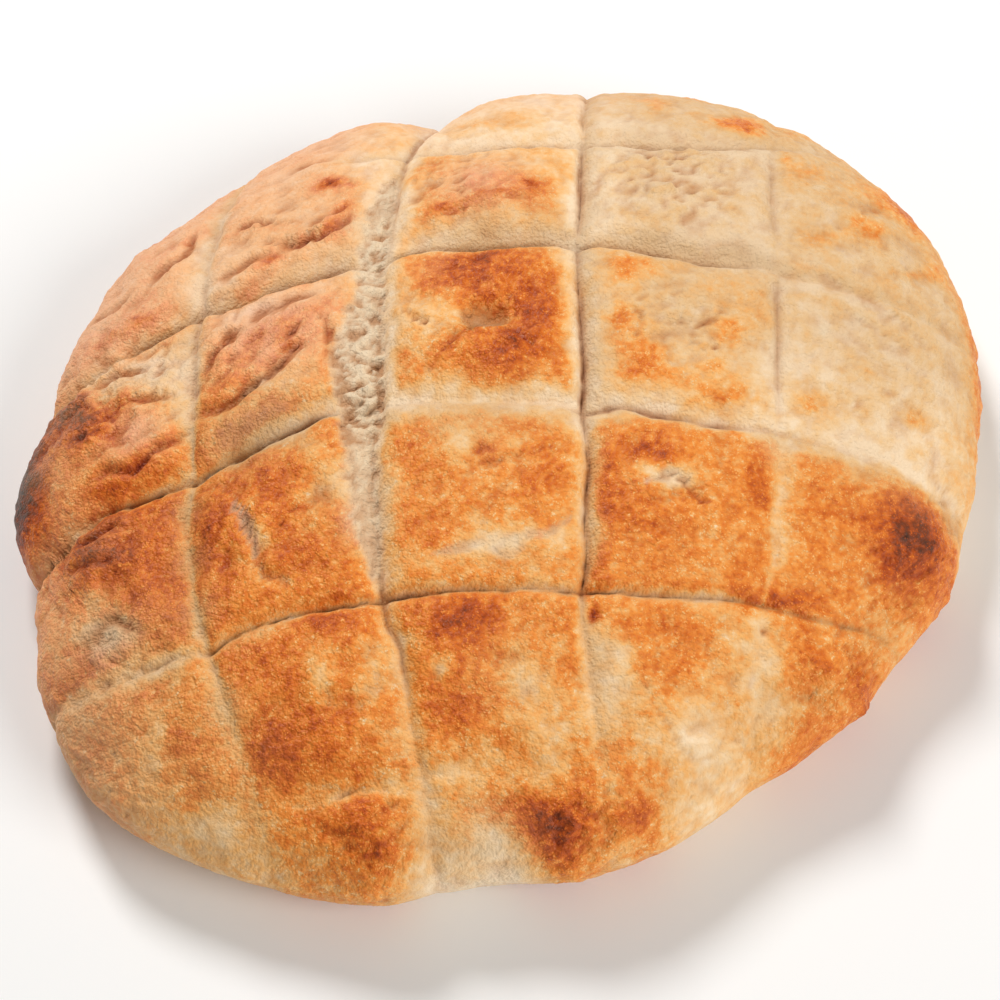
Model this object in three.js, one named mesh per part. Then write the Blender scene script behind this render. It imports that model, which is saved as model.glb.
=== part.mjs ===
// A somun: a round flat loaf of leavened bread, scored into squares and baked in one piece.
// Millimetres, +Z up. The loaf stands on its flat foot, with the origin under its middle.
import * as THREE from "three";

// The smooth loaf: an oval dome over a tucked-in side wall and a flat foot
const LONG_DIAMETER = 238;
const SHORT_DIAMETER = 199;
const LONG_AXIS_BEARING = 45; // degrees from +X to the longer diameter
const MIDDLE = { x: -0.5, y: 0.8 }; // of the oval
const HEIGHT = 46; // of the crown over the table
const GIRTH_HEIGHT = 13; // of the widest girth over the table
const FOOT_SHARE = 0.86; // the flat foot's radius over the girth's

// Swells and dents of the hand-shaped outline: bearing and spread in degrees, millimetres outward
const OUTLINE_SWELLS = [
  { bearing: 25, spread: 16, out: 1.5 },
  { bearing: 82, spread: 18, out: -4 },
  { bearing: 100, spread: 8, out: -5.5 },
  { bearing: 150, spread: 10, out: 2 },
  { bearing: 177, spread: 8, out: -2.5 },
  { bearing: 202, spread: 9, out: -6 },
  { bearing: 228, spread: 9, out: 2.5 },
  { bearing: 268, spread: 9, out: -3.5 },
  { bearing: 302, spread: 6, out: -1.6 },
  { bearing: 340, spread: 12, out: 1.5 },
];

// Score lines that run across the loaf, from near to far: [x, y, depth] at a few places on each
const ROW_LINES = [
  [[-49, -94.5, 0.5], [-24, -91.5, 2.2], [-6, -87.7, 1.6], [20, -87.7, 1], [32, -89, 0]],
  [[-87, -67.5, 2], [-61, -63, 2.5], [-44, -54.7, 4], [-12, -50.5, 4.5], [36, -49.5, 4.5], [84, -48.7, 3]],
  [[-94, -28.5, 2.5], [-68, -21.5, 4], [-36, -5.5, 4.5], [10, -6.5, 4.5], [46, -8.5, 4], [88, -12.5, 2]],
  [[-98, 17.5, 2], [-72, 25.5, 4], [-43, 35, 4.5], [-9, 39.5, 4.5], [18, 42.5, 4.5], [53, 37.5, 3.5],
    [83, 28.5, 1.2], [107, 23.5, 0.5]],
  [[-45, 70, 0], [-27, 76.5, 2.5], [6, 76.5, 3.5], [38, 79, 3], [64, 81, 2.5], [80, 81, 0]],
];

// Score lines that run away from the viewer, from left to right: [y, x, depth] at a few places on each
const COLUMN_LINES = [
  [[-89.7, -52, 1], [-60, -62, 3], [-43.7, -67, 3.5], [-20.7, -68, 4], [25, -70, 4], [59.3, -67.3, 3],
    [85.3, -60, 2]],
  [[-105.7, -9, 3], [-72.7, -20, 3.5], [-47.7, -26, 4.5], [4, -26.5, 4.5], [40, -28, 4.5], [67, -24, 4],
    [89, -17.5, 4]],
  [[-86.7, 19, 1.5], [-49.7, 16.5, 4.5], [-8.7, 17, 4.5], [42, 18, 4.5], [98, 22, 3]],
  [[-83.7, 48, 3], [-46.7, 57, 3.5], [-7.7, 59, 4], [37, 62, 2.5], [91, 66, 2.5]],
];
const SHOULDER = 12; // reach of a score line's rounded shoulder on each side
const SHOULDER_POWER = 2.2; // the shoulder's steepening towards the cut
const CROSSING_POWER = 3; // how the depths of two crossing lines add up

// The seam that tore open while baking, along the second column line: [y, opening towards -X]
const TORN_LINE = COLUMN_LINES[1];
const SEAM_OPENING = [[-46, 0], [-36, 3.5], [-14, 8.5], [8, 12], [27, 6], [40, 0]];
const SEAM_DEPTH = 3.5;
const SEAM_EDGE = 1.5; // width of the seam's steep walls

// Blisters that rose and browned first: place, reach and rise
const BLISTERS = [
  { x: 88, y: -31, reach: 14, rise: 3 },
  { x: 70, y: -62, reach: 11, rise: 2.2 },
  { x: 24, y: -93, reach: 9, rise: 1.6 },
  { x: 12, y: -97, reach: 10, rise: 2 },
  { x: -26, y: -102, reach: 11, rise: 1.8 },
  { x: -94, y: -7, reach: 14, rise: 2 },
  { x: -86, y: -36, reach: 12, rise: 2 },
  { x: -4, y: 54, reach: 17, rise: 1.6 },
  { x: -4, y: 5, reach: 11, rise: 1.2 },
];

// Tears of the crust: middle, bearing of the tear in degrees, half length, half width and depth
const TEARS = [
  { x: -54, y: -38, bearing: -70, length: 12, width: 4, depth: 1.6 },
  { x: -52, y: 3, bearing: 37, length: 14, width: 4, depth: 1.8 },
  { x: -50, y: 21, bearing: 17, length: 10, width: 3, depth: 1.2 },
  { x: -84, y: -15, bearing: 15, length: 12, width: 3, depth: 1.4 },
  { x: -55, y: 47, bearing: -25, length: 9, width: 3.5, depth: 1.2 },
  { x: -3, y: 16, bearing: 0, length: 7, width: 5, depth: 1.8 },
  { x: -2, y: -42, bearing: 14, length: 13, width: 4, depth: 1.4 },
  { x: 35, y: -25, bearing: -12, length: 9, width: 3.5, depth: 1.6 },
  { x: 31, y: -76, bearing: -62, length: 9, width: 3.5, depth: 1.4 },
  { x: 43, y: 13, bearing: 50, length: 8, width: 4, depth: 0.9 },
];

// The net of facets: where the score lines cross its -1 to 1 span, and how many steps lie between them
const COLUMN_PLACES = [-1, -0.504, -0.191, 0.125, 0.426, 1];
const COLUMN_STEPS = [17, 11, 11, 10, 19];
const ROW_PLACES = [-1, -0.675, -0.375, -0.05, 0.296, 0.566, 1];
const ROW_STEPS = [11, 10, 11, 12, 9, 15];
const STEP_CROWDING = 0.45; // how much finer the steps are beside the score lines
const GIRTH_PLACE = 0.9; // where the widest girth lies between the crown, 0, and the foot, 1
const GIRTH_POWER = 6; // how the facets crowd towards the girth
const SLIDE_FADE = [0.55, 0.88]; // the net follows the score lines fully up to the first place
const SLIDE_PASSES = 3;

const CRUST = new THREE.MeshStandardMaterial({ color: "#d39a58", roughness: 0.85, metalness: 0 });

const { clamp, smoothstep, degToRad, radToDeg, euclideanModulo } = THREE.MathUtils;

// A smooth curve through [place, value, ...] rows, straight beyond its ends.
function curveThrough(rows, place) {
  const slopeBetween = (a, b) => (rows[b][1] - rows[a][1]) / (rows[b][0] - rows[a][0]);
  const last = rows.length - 1;
  const slopeAt = (k) => slopeBetween(Math.max(k - 1, 0), Math.min(k + 1, last));
  if (place <= rows[0][0]) return rows[0][1] + slopeAt(0) * (place - rows[0][0]);
  if (place >= rows[last][0]) return rows[last][1] + slopeAt(last) * (place - rows[last][0]);
  const k = rows.findIndex((row) => row[0] > place) - 1;
  const span = rows[k + 1][0] - rows[k][0];
  const u = (place - rows[k][0]) / span;
  const rise = u * u * (3 - 2 * u);
  const leave = u * (1 - u) * (1 - u);
  const arrive = u * u * (u - 1);
  return rows[k][1] + (rows[k + 1][1] - rows[k][1]) * rise
    + span * (leave * slopeAt(k) + arrive * slopeAt(k + 1));
}

// Straight steps through [place, ..., value] rows, level beyond their ends.
function stepsThrough(rows, place) {
  const valueOf = (row) => row[row.length - 1];
  const last = rows.length - 1;
  if (place <= rows[0][0]) return valueOf(rows[0]);
  if (place >= rows[last][0]) return valueOf(rows[last]);
  const k = rows.findIndex((row) => row[0] > place) - 1;
  const u = (place - rows[k][0]) / (rows[k + 1][0] - rows[k][0]);
  return valueOf(rows[k]) + (valueOf(rows[k + 1]) - valueOf(rows[k])) * u;
}

// The widest radius of the loaf at a bearing in radians.
function outlineRadius(bearing) {
  const turn = bearing - degToRad(LONG_AXIS_BEARING);
  const along = LONG_DIAMETER / 2;
  const across = SHORT_DIAMETER / 2;
  let radius = (along * across) / Math.hypot(across * Math.cos(turn), along * Math.sin(turn));
  for (const swell of OUTLINE_SWELLS) {
    const away = euclideanModulo(radToDeg(bearing) - swell.bearing + 180, 360) - 180;
    radius += swell.out * Math.exp(-((away / swell.spread) ** 2));
  }
  return radius;
}

// The share of the outline's radius and the height at a place between the crown, 0, and the foot, 1.
function sideProfile(place) {
  if (place <= GIRTH_PLACE) {
    const u = place / GIRTH_PLACE;
    const share = u * (1 + 1 / GIRTH_POWER) - u ** (GIRTH_POWER + 1) / GIRTH_POWER;
    return { share, height: domeHeight(share) };
  }
  const quarterTurn = ((place - GIRTH_PLACE) / (1 - GIRTH_PLACE)) * (Math.PI / 2);
  return {
    share: FOOT_SHARE + (1 - FOOT_SHARE) * Math.cos(quarterTurn),
    height: GIRTH_HEIGHT * (1 - Math.sin(quarterTurn)),
  };
}

// The smooth dome's height at a share of the outline's radius.
function domeHeight(share) {
  return GIRTH_HEIGHT + (HEIGHT - GIRTH_HEIGHT) * Math.sqrt(Math.max(0, 1 - share * share));
}

// How deep a score line lies at a distance from it, by its rounded shoulder.
function shoulder(distance) {
  return Math.max(0, 1 - Math.abs(distance) / SHOULDER) ** SHOULDER_POWER;
}

// The depth of the score lines, which join smoothly where they cross.
function scoreDepth(x, y) {
  let rowDepth = 0;
  let columnDepth = 0;
  for (const line of ROW_LINES) {
    rowDepth = Math.max(rowDepth, stepsThrough(line, x) * shoulder(y - curveThrough(line, x)));
  }
  for (const line of COLUMN_LINES) {
    columnDepth = Math.max(columnDepth, stepsThrough(line, y) * shoulder(x - curveThrough(line, y)));
  }
  return (rowDepth ** CROSSING_POWER + columnDepth ** CROSSING_POWER) ** (1 / CROSSING_POWER);
}

// The depth of the torn seam's trough.
function seamDepth(x, y) {
  const opening = stepsThrough(SEAM_OPENING, y);
  const across = curveThrough(TORN_LINE, y) - x;
  const rightWall = smoothstep(across, -SEAM_EDGE, SEAM_EDGE);
  const leftWall = 1 - smoothstep(across, opening - SEAM_EDGE, opening + SEAM_EDGE);
  return SEAM_DEPTH * rightWall * leftWall * clamp(opening / SEAM_EDGE, 0, 1);
}

// How far the crust stands out of the smooth dome over a point of the plan.
function relief(x, y) {
  let out = -scoreDepth(x, y) - seamDepth(x, y);
  for (const blister of BLISTERS) {
    const away = Math.hypot(x - blister.x, y - blister.y) / blister.reach;
    out += blister.rise * Math.exp(-2 * away * away);
  }
  for (const tear of TEARS) {
    const bearing = degToRad(tear.bearing);
    const along = (x - tear.x) * Math.cos(bearing) + (y - tear.y) * Math.sin(bearing);
    const across = (y - tear.y) * Math.cos(bearing) - (x - tear.x) * Math.sin(bearing);
    out -= tear.depth * Math.exp(-2 * ((along / tear.length) ** 2 + (across / tear.width) ** 2));
  }
  return out;
}

// Places from -1 to 1 with the given steps between the given places, finer beside each of them.
function netPlaces(places, steps) {
  const result = [places[0]];
  steps.forEach((count, k) => {
    const span = places[k + 1] - places[k];
    for (let step = 1; step <= count; step += 1) {
      const u = step / count;
      const crowded = u - (STEP_CROWDING * Math.sin(2 * Math.PI * u)) / (2 * Math.PI);
      result.push(places[k] + span * crowded);
    }
  });
  return result;
}

// The numbers of the net's steps that carry the score lines, from its first edge to its last.
function lineSteps(steps) {
  const result = [0];
  for (const count of steps) result.push(result[result.length - 1] + count);
  return result;
}

// A square net over the loaf's plan: each point knows its plan place and its place on the profile.
function makeNet() {
  const columns = netPlaces(COLUMN_PLACES, COLUMN_STEPS);
  const rows = netPlaces(ROW_PLACES, ROW_STEPS);
  return columns.map((a) => rows.map((b) => {
    const discX = a * Math.sqrt(1 - (b * b) / 2);
    const discY = b * Math.sqrt(1 - (a * a) / 2);
    const place = Math.min(1, Math.hypot(discX, discY));
    const bearing = Math.atan2(discY, discX);
    const { share, height } = sideProfile(place);
    const radius = share * outlineRadius(bearing);
    return {
      x: MIDDLE.x + radius * Math.cos(bearing),
      y: MIDDLE.y + radius * Math.sin(bearing),
      place,
      sideHeight: height,
    };
  }));
}

// Slide one string of net points along an axis, so that its marked points land on the score lines.
function slideString(string, marks, lines, axis, otherAxis) {
  const shifts = marks.map((mark, k) => {
    if (k === 0 || k === marks.length - 1) return [mark, 0];
    const point = string[mark];
    const hold = 1 - smoothstep(point.place, SLIDE_FADE[0], SLIDE_FADE[1]);
    return [mark, hold * (curveThrough(lines[k - 1], point[otherAxis]) - point[axis])];
  });
  string.forEach((point, step) => {
    const hold = 1 - smoothstep(point.place, SLIDE_FADE[0], SLIDE_FADE[1]);
    point[axis] += hold * stepsThrough(shifts, step);
  });
}

// Slide the whole net until its marked columns and rows follow the score lines.
function followScoreLines(net) {
  const columnMarks = lineSteps(COLUMN_STEPS);
  const rowMarks = lineSteps(ROW_STEPS);
  for (let pass = 0; pass < SLIDE_PASSES; pass += 1) {
    for (let j = 0; j < net[0].length; j += 1) {
      slideString(net.map((column) => column[j]), columnMarks, COLUMN_LINES, "x", "y");
    }
    for (const column of net) slideString(column, rowMarks, ROW_LINES, "y", "x");
  }
}

// The crust over a net point: the smooth form moved along its normal by the relief.
function crustPoint(point) {
  const dx = point.x - MIDDLE.x;
  const dy = point.y - MIDDLE.y;
  const radius = outlineRadius(Math.atan2(dy, dx));
  const onDome = point.place < GIRTH_PLACE;
  const height = onDome ? domeHeight(Math.hypot(dx, dy) / radius) : point.sideHeight;
  const rise = onDome ? HEIGHT - GIRTH_HEIGHT : GIRTH_HEIGHT;
  const normal = new THREE.Vector3(dx / radius ** 2, dy / radius ** 2, (height - GIRTH_HEIGHT) / rise ** 2);
  const underside = clamp((point.place - GIRTH_PLACE) / (1 - GIRTH_PLACE), 0, 1);
  const out = relief(point.x, point.y) * (1 - underside) ** 2;
  return new THREE.Vector3(point.x, point.y, height).addScaledVector(normal.normalize(), out);
}

// The closed crust: the net's facets, and a flat fan under the foot.
function loafGeometry() {
  const net = makeNet();
  followScoreLines(net);
  const columns = net.length;
  const rows = net[0].length;
  const positions = net.flatMap((column) => column.flatMap((point) => crustPoint(point).toArray()));
  const corner = (i, j) => i * rows + j;
  const facets = [];
  for (let i = 0; i < columns - 1; i += 1) {
    for (let j = 0; j < rows - 1; j += 1) {
      const quad = [corner(i, j), corner(i + 1, j), corner(i + 1, j + 1), corner(i, j + 1)];
      // Each quad is split along the diagonal that points away from the crown.
      const outward = (2 * i + 2 - columns) * (2 * j + 2 - rows) > 0;
      const [p, q, r, s] = outward ? quad : [quad[1], quad[2], quad[3], quad[0]];
      facets.push(p, q, r, p, r, s);
    }
  }
  const foot = [];
  for (let i = 0; i < columns - 1; i += 1) foot.push(corner(i, 0));
  for (let j = 0; j < rows - 1; j += 1) foot.push(corner(columns - 1, j));
  for (let i = columns - 1; i > 0; i -= 1) foot.push(corner(i, rows - 1));
  for (let j = rows - 1; j > 0; j -= 1) foot.push(corner(0, j));
  const footMiddle = positions.length / 3;
  positions.push(MIDDLE.x, MIDDLE.y, 0);
  foot.forEach((here, k) => facets.push(footMiddle, foot[(k + 1) % foot.length], here));
  const geometry = new THREE.BufferGeometry();
  geometry.setAttribute("position", new THREE.Float32BufferAttribute(positions, 3));
  geometry.setIndex(facets);
  geometry.computeVertexNormals();
  return geometry;
}

const somun = new THREE.Group();
const loaf = new THREE.Mesh(loafGeometry(), CRUST);
loaf.name = "somun_loaf";
somun.add(loaf);

export default somun;
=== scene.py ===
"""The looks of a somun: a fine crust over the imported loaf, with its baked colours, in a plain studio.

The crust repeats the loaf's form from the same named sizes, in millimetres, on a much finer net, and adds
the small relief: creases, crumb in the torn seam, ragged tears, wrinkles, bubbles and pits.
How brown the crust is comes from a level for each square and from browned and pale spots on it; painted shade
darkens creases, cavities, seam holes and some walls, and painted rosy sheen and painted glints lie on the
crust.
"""

import math

import bpy
import numpy as np
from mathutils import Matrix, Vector


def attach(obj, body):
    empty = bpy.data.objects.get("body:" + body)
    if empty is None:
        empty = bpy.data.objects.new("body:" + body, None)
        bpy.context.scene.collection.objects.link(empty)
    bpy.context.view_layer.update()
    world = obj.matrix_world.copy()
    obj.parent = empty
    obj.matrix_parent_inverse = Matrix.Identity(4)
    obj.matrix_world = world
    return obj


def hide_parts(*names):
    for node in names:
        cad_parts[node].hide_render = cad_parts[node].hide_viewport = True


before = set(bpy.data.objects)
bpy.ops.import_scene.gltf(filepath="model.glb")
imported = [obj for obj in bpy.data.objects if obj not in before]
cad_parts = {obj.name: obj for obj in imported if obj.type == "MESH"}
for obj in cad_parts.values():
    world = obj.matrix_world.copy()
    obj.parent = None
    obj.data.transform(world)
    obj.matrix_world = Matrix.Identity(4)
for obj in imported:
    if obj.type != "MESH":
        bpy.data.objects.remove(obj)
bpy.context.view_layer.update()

MM = 0.001
NODE = "somun_loaf"

# Where the random draws start
SEEDS = {
    "score": 101, "strip": 201, "crease_and_shade": 203, "seam": 301, "crumb": 310, "tear": 401, "ridge": 501,
    "broad": 504, "lump": 506, "grain": 508, "flake": 510, "spot": 601, "mottle": 605, "foot": 801,
}

# The smooth loaf
LONG_DIAMETER = 238
SHORT_DIAMETER = 199
LONG_AXIS_BEARING = 45
MIDDLE = np.array([-0.5, 0.8])
HEIGHT = 46
GIRTH_HEIGHT = 13
FOOT_SHARE = 0.86

# Swells and dents of the outline: bearing and spread in degrees, millimetres outward
OUTLINE_SWELLS = [
    (25, 16, 1.5), (82, 18, -4), (100, 8, -5.5), (150, 10, 2), (177, 8, -2.5),
    (202, 9, -6), (228, 9, 2.5), (268, 9, -3.5), (302, 6, -1.6), (340, 12, 1.5),
]

# Score lines across the loaf, from near to far: x, y, depth, how sharp the crease is,
# and how far the unbaked strip reaches on the near side and on the far side
ROW_LINES = [
    [(-49, -94.5, 0.3, 0, 2, 3), (-24, -91.5, 1.2, 0.1, 2, 3.5), (-6, -87.7, 0.6, 0, 3, 2),
     (12, -87.7, 0.2, 0, 2, 2), (22, -88, 0, 0, 2, 2)],
    [(-90, -68.5, 1, 0, 2, 2), (-77, -66, 1.4, 0.1, 2, 2), (-67, -63.5, 1.2, 0.2, 2, 2),
     (-61, -63.5, 1.8, 0.5, 2, 2), (-57, -61, 2, 0.6, 2.5, 1.5), (-48, -57.4, 2.2, 0.7, 4, 1.5),
     (-41, -55, 2.4, 0.8, 2, 1), (-31, -54, 2.4, 0.9, 1, 1.2), (-25, -52.8, 2.6, 0.9, 1, 1.5),
     (-11, -52, 1.6, 0.9, 0.8, 1.6), (-4, -51.6, 1.4, 0.9, 0.8, 1.4), (11, -51.8, 1.4, 0.9, 0.8, 1.2),
     (17.5, -51.4, 2.2, 0.9, 1, 1.5), (28, -51.6, 1.5, 0.8, 1.2, 1.6), (45, -51.3, 1.3, 0.8, 1, 1.6),
     (52, -51.6, 1, 0.9, 0.5, 0.7), (62, -52.2, 0.6, 0.9, 0.4, 0.6), (73, -53, 0.5, 0.8, 0.4, 0.6),
     (84, -53, 0.6, 0.2, 0.4, 1)],
    [(-94, -31, 2, 0.8, 1, 1), (-86, -26.4, 2.6, 1, 1, 1), (-75, -23.6, 3, 1, 1.2, 1.8),
     (-67, -22, 3, 0.9, 1.5, 2), (-62, -19.2, 3, 1, 1.5, 2.2), (-54, -15.2, 3.2, 1, 2, 3.5),
     (-44, -10.6, 3.2, 0.9, 2.5, 3.5), (-36, -7.4, 2.6, 0.5, 3, 4), (-24, -6.8, 1.8, 0.1, 5, 5),
     (-5, -6.6, 1.8, 0, 5, 5), (12, -6.9, 1.8, 0.1, 5, 5), (18, -8.4, 2.2, 0.7, 4, 4),
     (26, -7.4, 2.2, 0.8, 3, 4), (34, -8.7, 2.4, 0.9, 2, 4), (46, -10.2, 2.2, 0.8, 2, 3.5),
     (56, -11, 1.4, 0.4, 3, 4), (75, -14, 0.7, 0.2, 5, 6), (92, -19, 0.4, 0.1, 5, 6)],
    [(-98, 9, 1.5, 0.6, 2.5, 1), (-86, 16, 2.6, 0.9, 2.5, 2), (-76, 20, 3, 1, 2.2, 2.2),
     (-70, 23.6, 3.2, 1, 2, 2.5), (-57, 26.8, 3.4, 1, 1.5, 3.5), (-44, 31.2, 3.4, 0.9, 2.5, 4),
     (-34, 33.5, 2.6, 0.7, 3, 4), (-28, 34, 2, 0.4, 4, 4), (-20, 37.4, 2.8, 0.9, 2, 4),
     (0, 38.6, 3.4, 1, 1.5, 4.5), (10, 39.2, 3, 0.9, 2, 4), (16, 37.5, 2, 0.2, 4, 4),
     (22, 38.6, 2.6, 0.8, 3, 4), (33, 37, 3, 1, 2, 5), (45, 34.8, 2.6, 0.9, 2.5, 4.5),
     (57, 33.5, 1.4, 0.3, 3, 4), (66, 31.5, 0.5, 0, 3, 3), (83, 28.5, 0.5, 0, 3, 3),
     (107, 23.5, 0.3, 0, 3, 3)],
    [(-45, 69, 0, 0, 3, 3), (-27, 72, 1.5, 0.3, 3, 3), (-17, 73, 1.8, 0.4, 3, 3), (0, 74, 2, 0.5, 3, 4),
     (20, 74.5, 2.2, 0.4, 3, 4), (38, 75, 2, 0.5, 3, 4), (50, 75.5, 1.8, 0.5, 2.5, 3),
     (64, 78, 1.2, 0.3, 2, 3), (80, 80, 0, 0, 2, 2)],
]

# Score lines away from the viewer, from left to right: y, x, depth, how sharp the crease is,
# and how far the unbaked strip reaches on the left and on the right
COLUMN_LINES = [
    [(-90, -52, 0.5, 0, 2, 2), (-78, -55.8, 1, 0, 2.5, 2), (-65, -60.5, 1.4, 0.2, 2, 1.5),
     (-58, -63, 1.4, 0.1, 1.6, 1.2), (-50, -65, 1.4, 0.1, 1.6, 1.2), (-41, -66.6, 1.5, 0.1, 1.8, 1.2),
     (-32, -67.3, 1.6, 0.1, 1.8, 1), (-22, -67.5, 2, 0.3, 1.4, 1), (-12, -67.8, 1.8, 0.2, 2, 1),
     (-1, -68.2, 1.8, 0.3, 5, 1.5), (13, -69, 2, 0.4, 5, 1.5), (23, -69, 2.4, 0.6, 3, 2),
     (35, -68.3, 2, 0.3, 3, 1.5), (49, -67.9, 2, 0.2, 3, 1.5), (62, -66, 1.6, 0.2, 2, 2),
     (85, -60, 1, 0.2, 2, 2)],
    [(-106, -14, 1.4, 0.2, 5, 5), (-92, -16.5, 1.4, 0.2, 3, 3), (-82, -18.5, 1.6, 0.2, 5, 2.5),
     (-72.5, -20.3, 1.8, 0.3, 5, 2), (-64.5, -21.6, 2, 0.7, 2.5, 2.5), (-60, -24, 2.4, 1, 2, 3),
     (-54, -25.4, 2.8, 1, 2, 3), (-48, -26.2, 2.8, 0.9, 3, 4), (-40, -26, 2.3, 0.2, 7, 3),
     (-30, -27, 2.4, 0.2, 10, 3), (-12, -26.8, 2.4, 0, 11, 3), (4, -26.5, 2.4, 0, 8, 4.5),
     (34, -27.2, 2, 0.1, 5, 4.5), (43, -26.3, 2.2, 0.6, 7, 5), (53, -25.5, 2.4, 0.8, 5, 5),
     (65, -24.2, 2.4, 0.8, 4, 5), (77, -21.6, 2.4, 0.7, 3, 4), (92, -16.5, 2.2, 0.5, 3, 4)],
    [(-95, 20, 0, 0, 3, 3), (-84, 19, 0.3, 0, 4, 5), (-72, 17.3, 0.9, 0.2, 3, 6),
     (-63, 16.5, 1.2, 0.4, 2.5, 4.5), (-54, 16.2, 1.6, 0.6, 2, 1), (-50, 16.3, 2.2, 0.9, 2, 2),
     (-44, 17.1, 2.2, 0.9, 2, 2), (-23, 17.6, 2.2, 0.9, 2.5, 2), (-10, 17.2, 2.4, 1, 4.5, 4.5),
     (-3, 17.5, 2.6, 1, 4.5, 4.5), (10, 17.3, 2.8, 1, 5, 5), (21, 16.7, 2.6, 1, 5, 5),
     (34, 16.4, 1.8, 0.6, 5, 5), (41, 16.6, 1.4, 0.2, 5, 5), (50, 17.5, 2.6, 0.9, 4, 5),
     (62, 18.1, 2.6, 0.9, 4, 5), (75, 18.6, 2, 0.5, 4, 4), (90, 19.6, 1.6, 0.3, 4, 4)],
    [(-88, 50, 0.4, 0, 5, 4), (-74, 52, 0.7, 0, 5, 4), (-63, 53.3, 0.8, 0, 4.5, 4),
     (-54, 53.6, 0.7, 0, 2.5, 2), (-48.5, 54.8, 0.7, 0, 1, 1), (-41, 56.7, 0.8, 0, 1.5, 2),
     (-27, 58.4, 0.9, 0, 2.2, 2.6), (-12, 59.5, 0.9, 0, 3, 3), (0, 59.8, 1, 0.6, 3, 3),
     (12, 60.5, 1.3, 0.9, 2, 2), (25, 61.3, 1.2, 0.8, 2, 2), (33, 62, 0.3, 0, 4, 4),
     (42, 62.4, 0.5, 0.1, 3, 3), (51, 61.9, 1.5, 0.9, 2, 2), (60, 62.6, 1.5, 0.9, 2, 2),
     (68, 63.3, 1, 0.4, 2, 2), (80, 65, 0.6, 0.1, 3, 3)],
]

# What each line is like on its near or left side, and on its other side: how far its wall reaches,
# how hollow that wall is, and how dull and greyish its strip is, which is partly painted shade
ROW_SIDES = [
    ((8, 8), (2, 2), (0, 0)), ((3, 2.8), (2.2, 2), (0.3, 0)), ((5, 7), (2.2, 1.6), (0.5, 0.1)),
    ((3.5, 7), (2.4, 1.5), (0, 0.7)), ((4, 6), (2.2, 1.6), (0, 0.3)),
]
COLUMN_SIDES = [
    ((7, 4), (1.8, 2.2), (0.4, 0.2)), ((9, 5), (2, 2), (0.15, 0)),
    ((3, 4), (2, 2), (0, 0.65)), ((4, 4), (2, 2), (0.1, 0.1)),
]
CROSSING_POWER = 3

# Layers of noise, here and below each a height and the size of its features, that make the lines waver
SCORE_WOBBLE = [(0.7, 10), (0.3, 3)]

# The unbaked strips: how ragged their reach is, its least share, the depth of line that leaves them unbaked,
# and half the width over which one side changes to the other
STRIP_RAGGED = [(0.8, 11), (0.4, 3)]
LEAST_STRIP = 0.3
FULL_STRIP_DEPTH = 1.2
SIDE_BLEND = 0.5

# Squares puff up between the lines: how far from a line, and the shares of its depth in the puff and the wall
PUFF_REACH = 13
PUFF_SHARE = 0.5
WALL_SHARE = 0.85

# The sharp crease at the bottom of a score line, which also gets painted shade: half width, depth, the depth
# of line that has all of it, and the usual share, layers of noise and least share of it along the line
CREASE_WIDTH = 0.7
CREASE_DEPTH = 0.8
FULL_CREASE_DEPTH = 3
CREASE_SHARE = 0.75
CREASE_PATCHES = [(0.6, 13)]
LEAST_CREASE = 0.2

# Tears: layers of noise that make them waver, and the share of their length at each end that tapers no more
TEAR_WOBBLE = [(1.1, 5), (0.7, 1.8)]
CHAIN_END = 0.02

# Folds: half width of the crease at their bottom, and the lips' share of the depth and place in half widths
FOLD_CREASE = 0.5
FOLD_LIP = 0.3
FOLD_LIP_PLACE = 2

# Cracks: the share of their width at the ends, where their walls lie in half widths, how much painted shade
# darkens them, and the lips' share of the depth, place and width in half widths
CRACK_END = 0.35
CRACK_WALL = (1.15, 0.3)
CRACK_SHADE = 0.3
CRACK_LIP = 0.3
CRACK_LIP_PLACE = 1.7
CRACK_LIP_WIDTH = 0.8

# Torn ledges: half width of the step, place and width of the edge that bakes browner, and its change of level
LEDGE_STEP = 0.5
LEDGE_EDGE_PLACE = 0.9
LEDGE_EDGE = 1.1
LEDGE_BROWNING = 0.12

# The torn seam along the second column line: y, opening towards -X, depth, and how rough its crumb is
SEAM = [
    (-51, 0, 0.8, 0.2), (-46, 2, 1, 0.2), (-36, 5, 1.3, 0.25), (-20, 6.5, 1.8, 0.4), (-12, 8.5, 2.6, 1),
    (6, 11.5, 2.6, 1.1), (16, 8.5, 1.6, 1), (28, 6, 0.9, 0.8), (38, 6, 0.9, 0.8), (50, 6, 1, 0.6),
    (58, 4, 0.8, 0.4), (66, 0, 0.5, 0.2),
]

# The seam's walls: half width, how ragged the left one is, the right one's share of that, and the skin inside
SEAM_EDGE = 1.2
SEAM_RAGGED = [(1.6, 5), (1.2, 2)]
SEAM_RIGHT_SHARE = 0.6
SEAM_SKIN = 0.3

# The crumb in the seam: lumps and holes, some pulled out along a bearing in degrees, between which noise the
# holes' edges lie, how deep they are, and how low the shaded holes are and how much painted shade darkens
# them
CRUMB_BEARING = 25
CRUMB_STRETCH = 1.9
PULLED_LUMPS = [(0.8, 2.2)]
ROUND_LUMPS = [(0.5, 1.4)]
PULLED_HOLES = [(0.5, 1.8)]
ROUND_HOLES = [(1, 4)]
HOLE_EDGE = (0.15, 0.5)
HOLE_DEPTH = 0.8
SHADED_HOLES = (-0.5, -1.8)
HOLE_SHADE = 0.5

# Painted shade darkens cavities: how many steps of the net they are compared with, and how deep the darkest
# are
CAVITY_SHADE_REACH = 4
CAVITY_SHADE_DEPTH = 0.7

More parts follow.
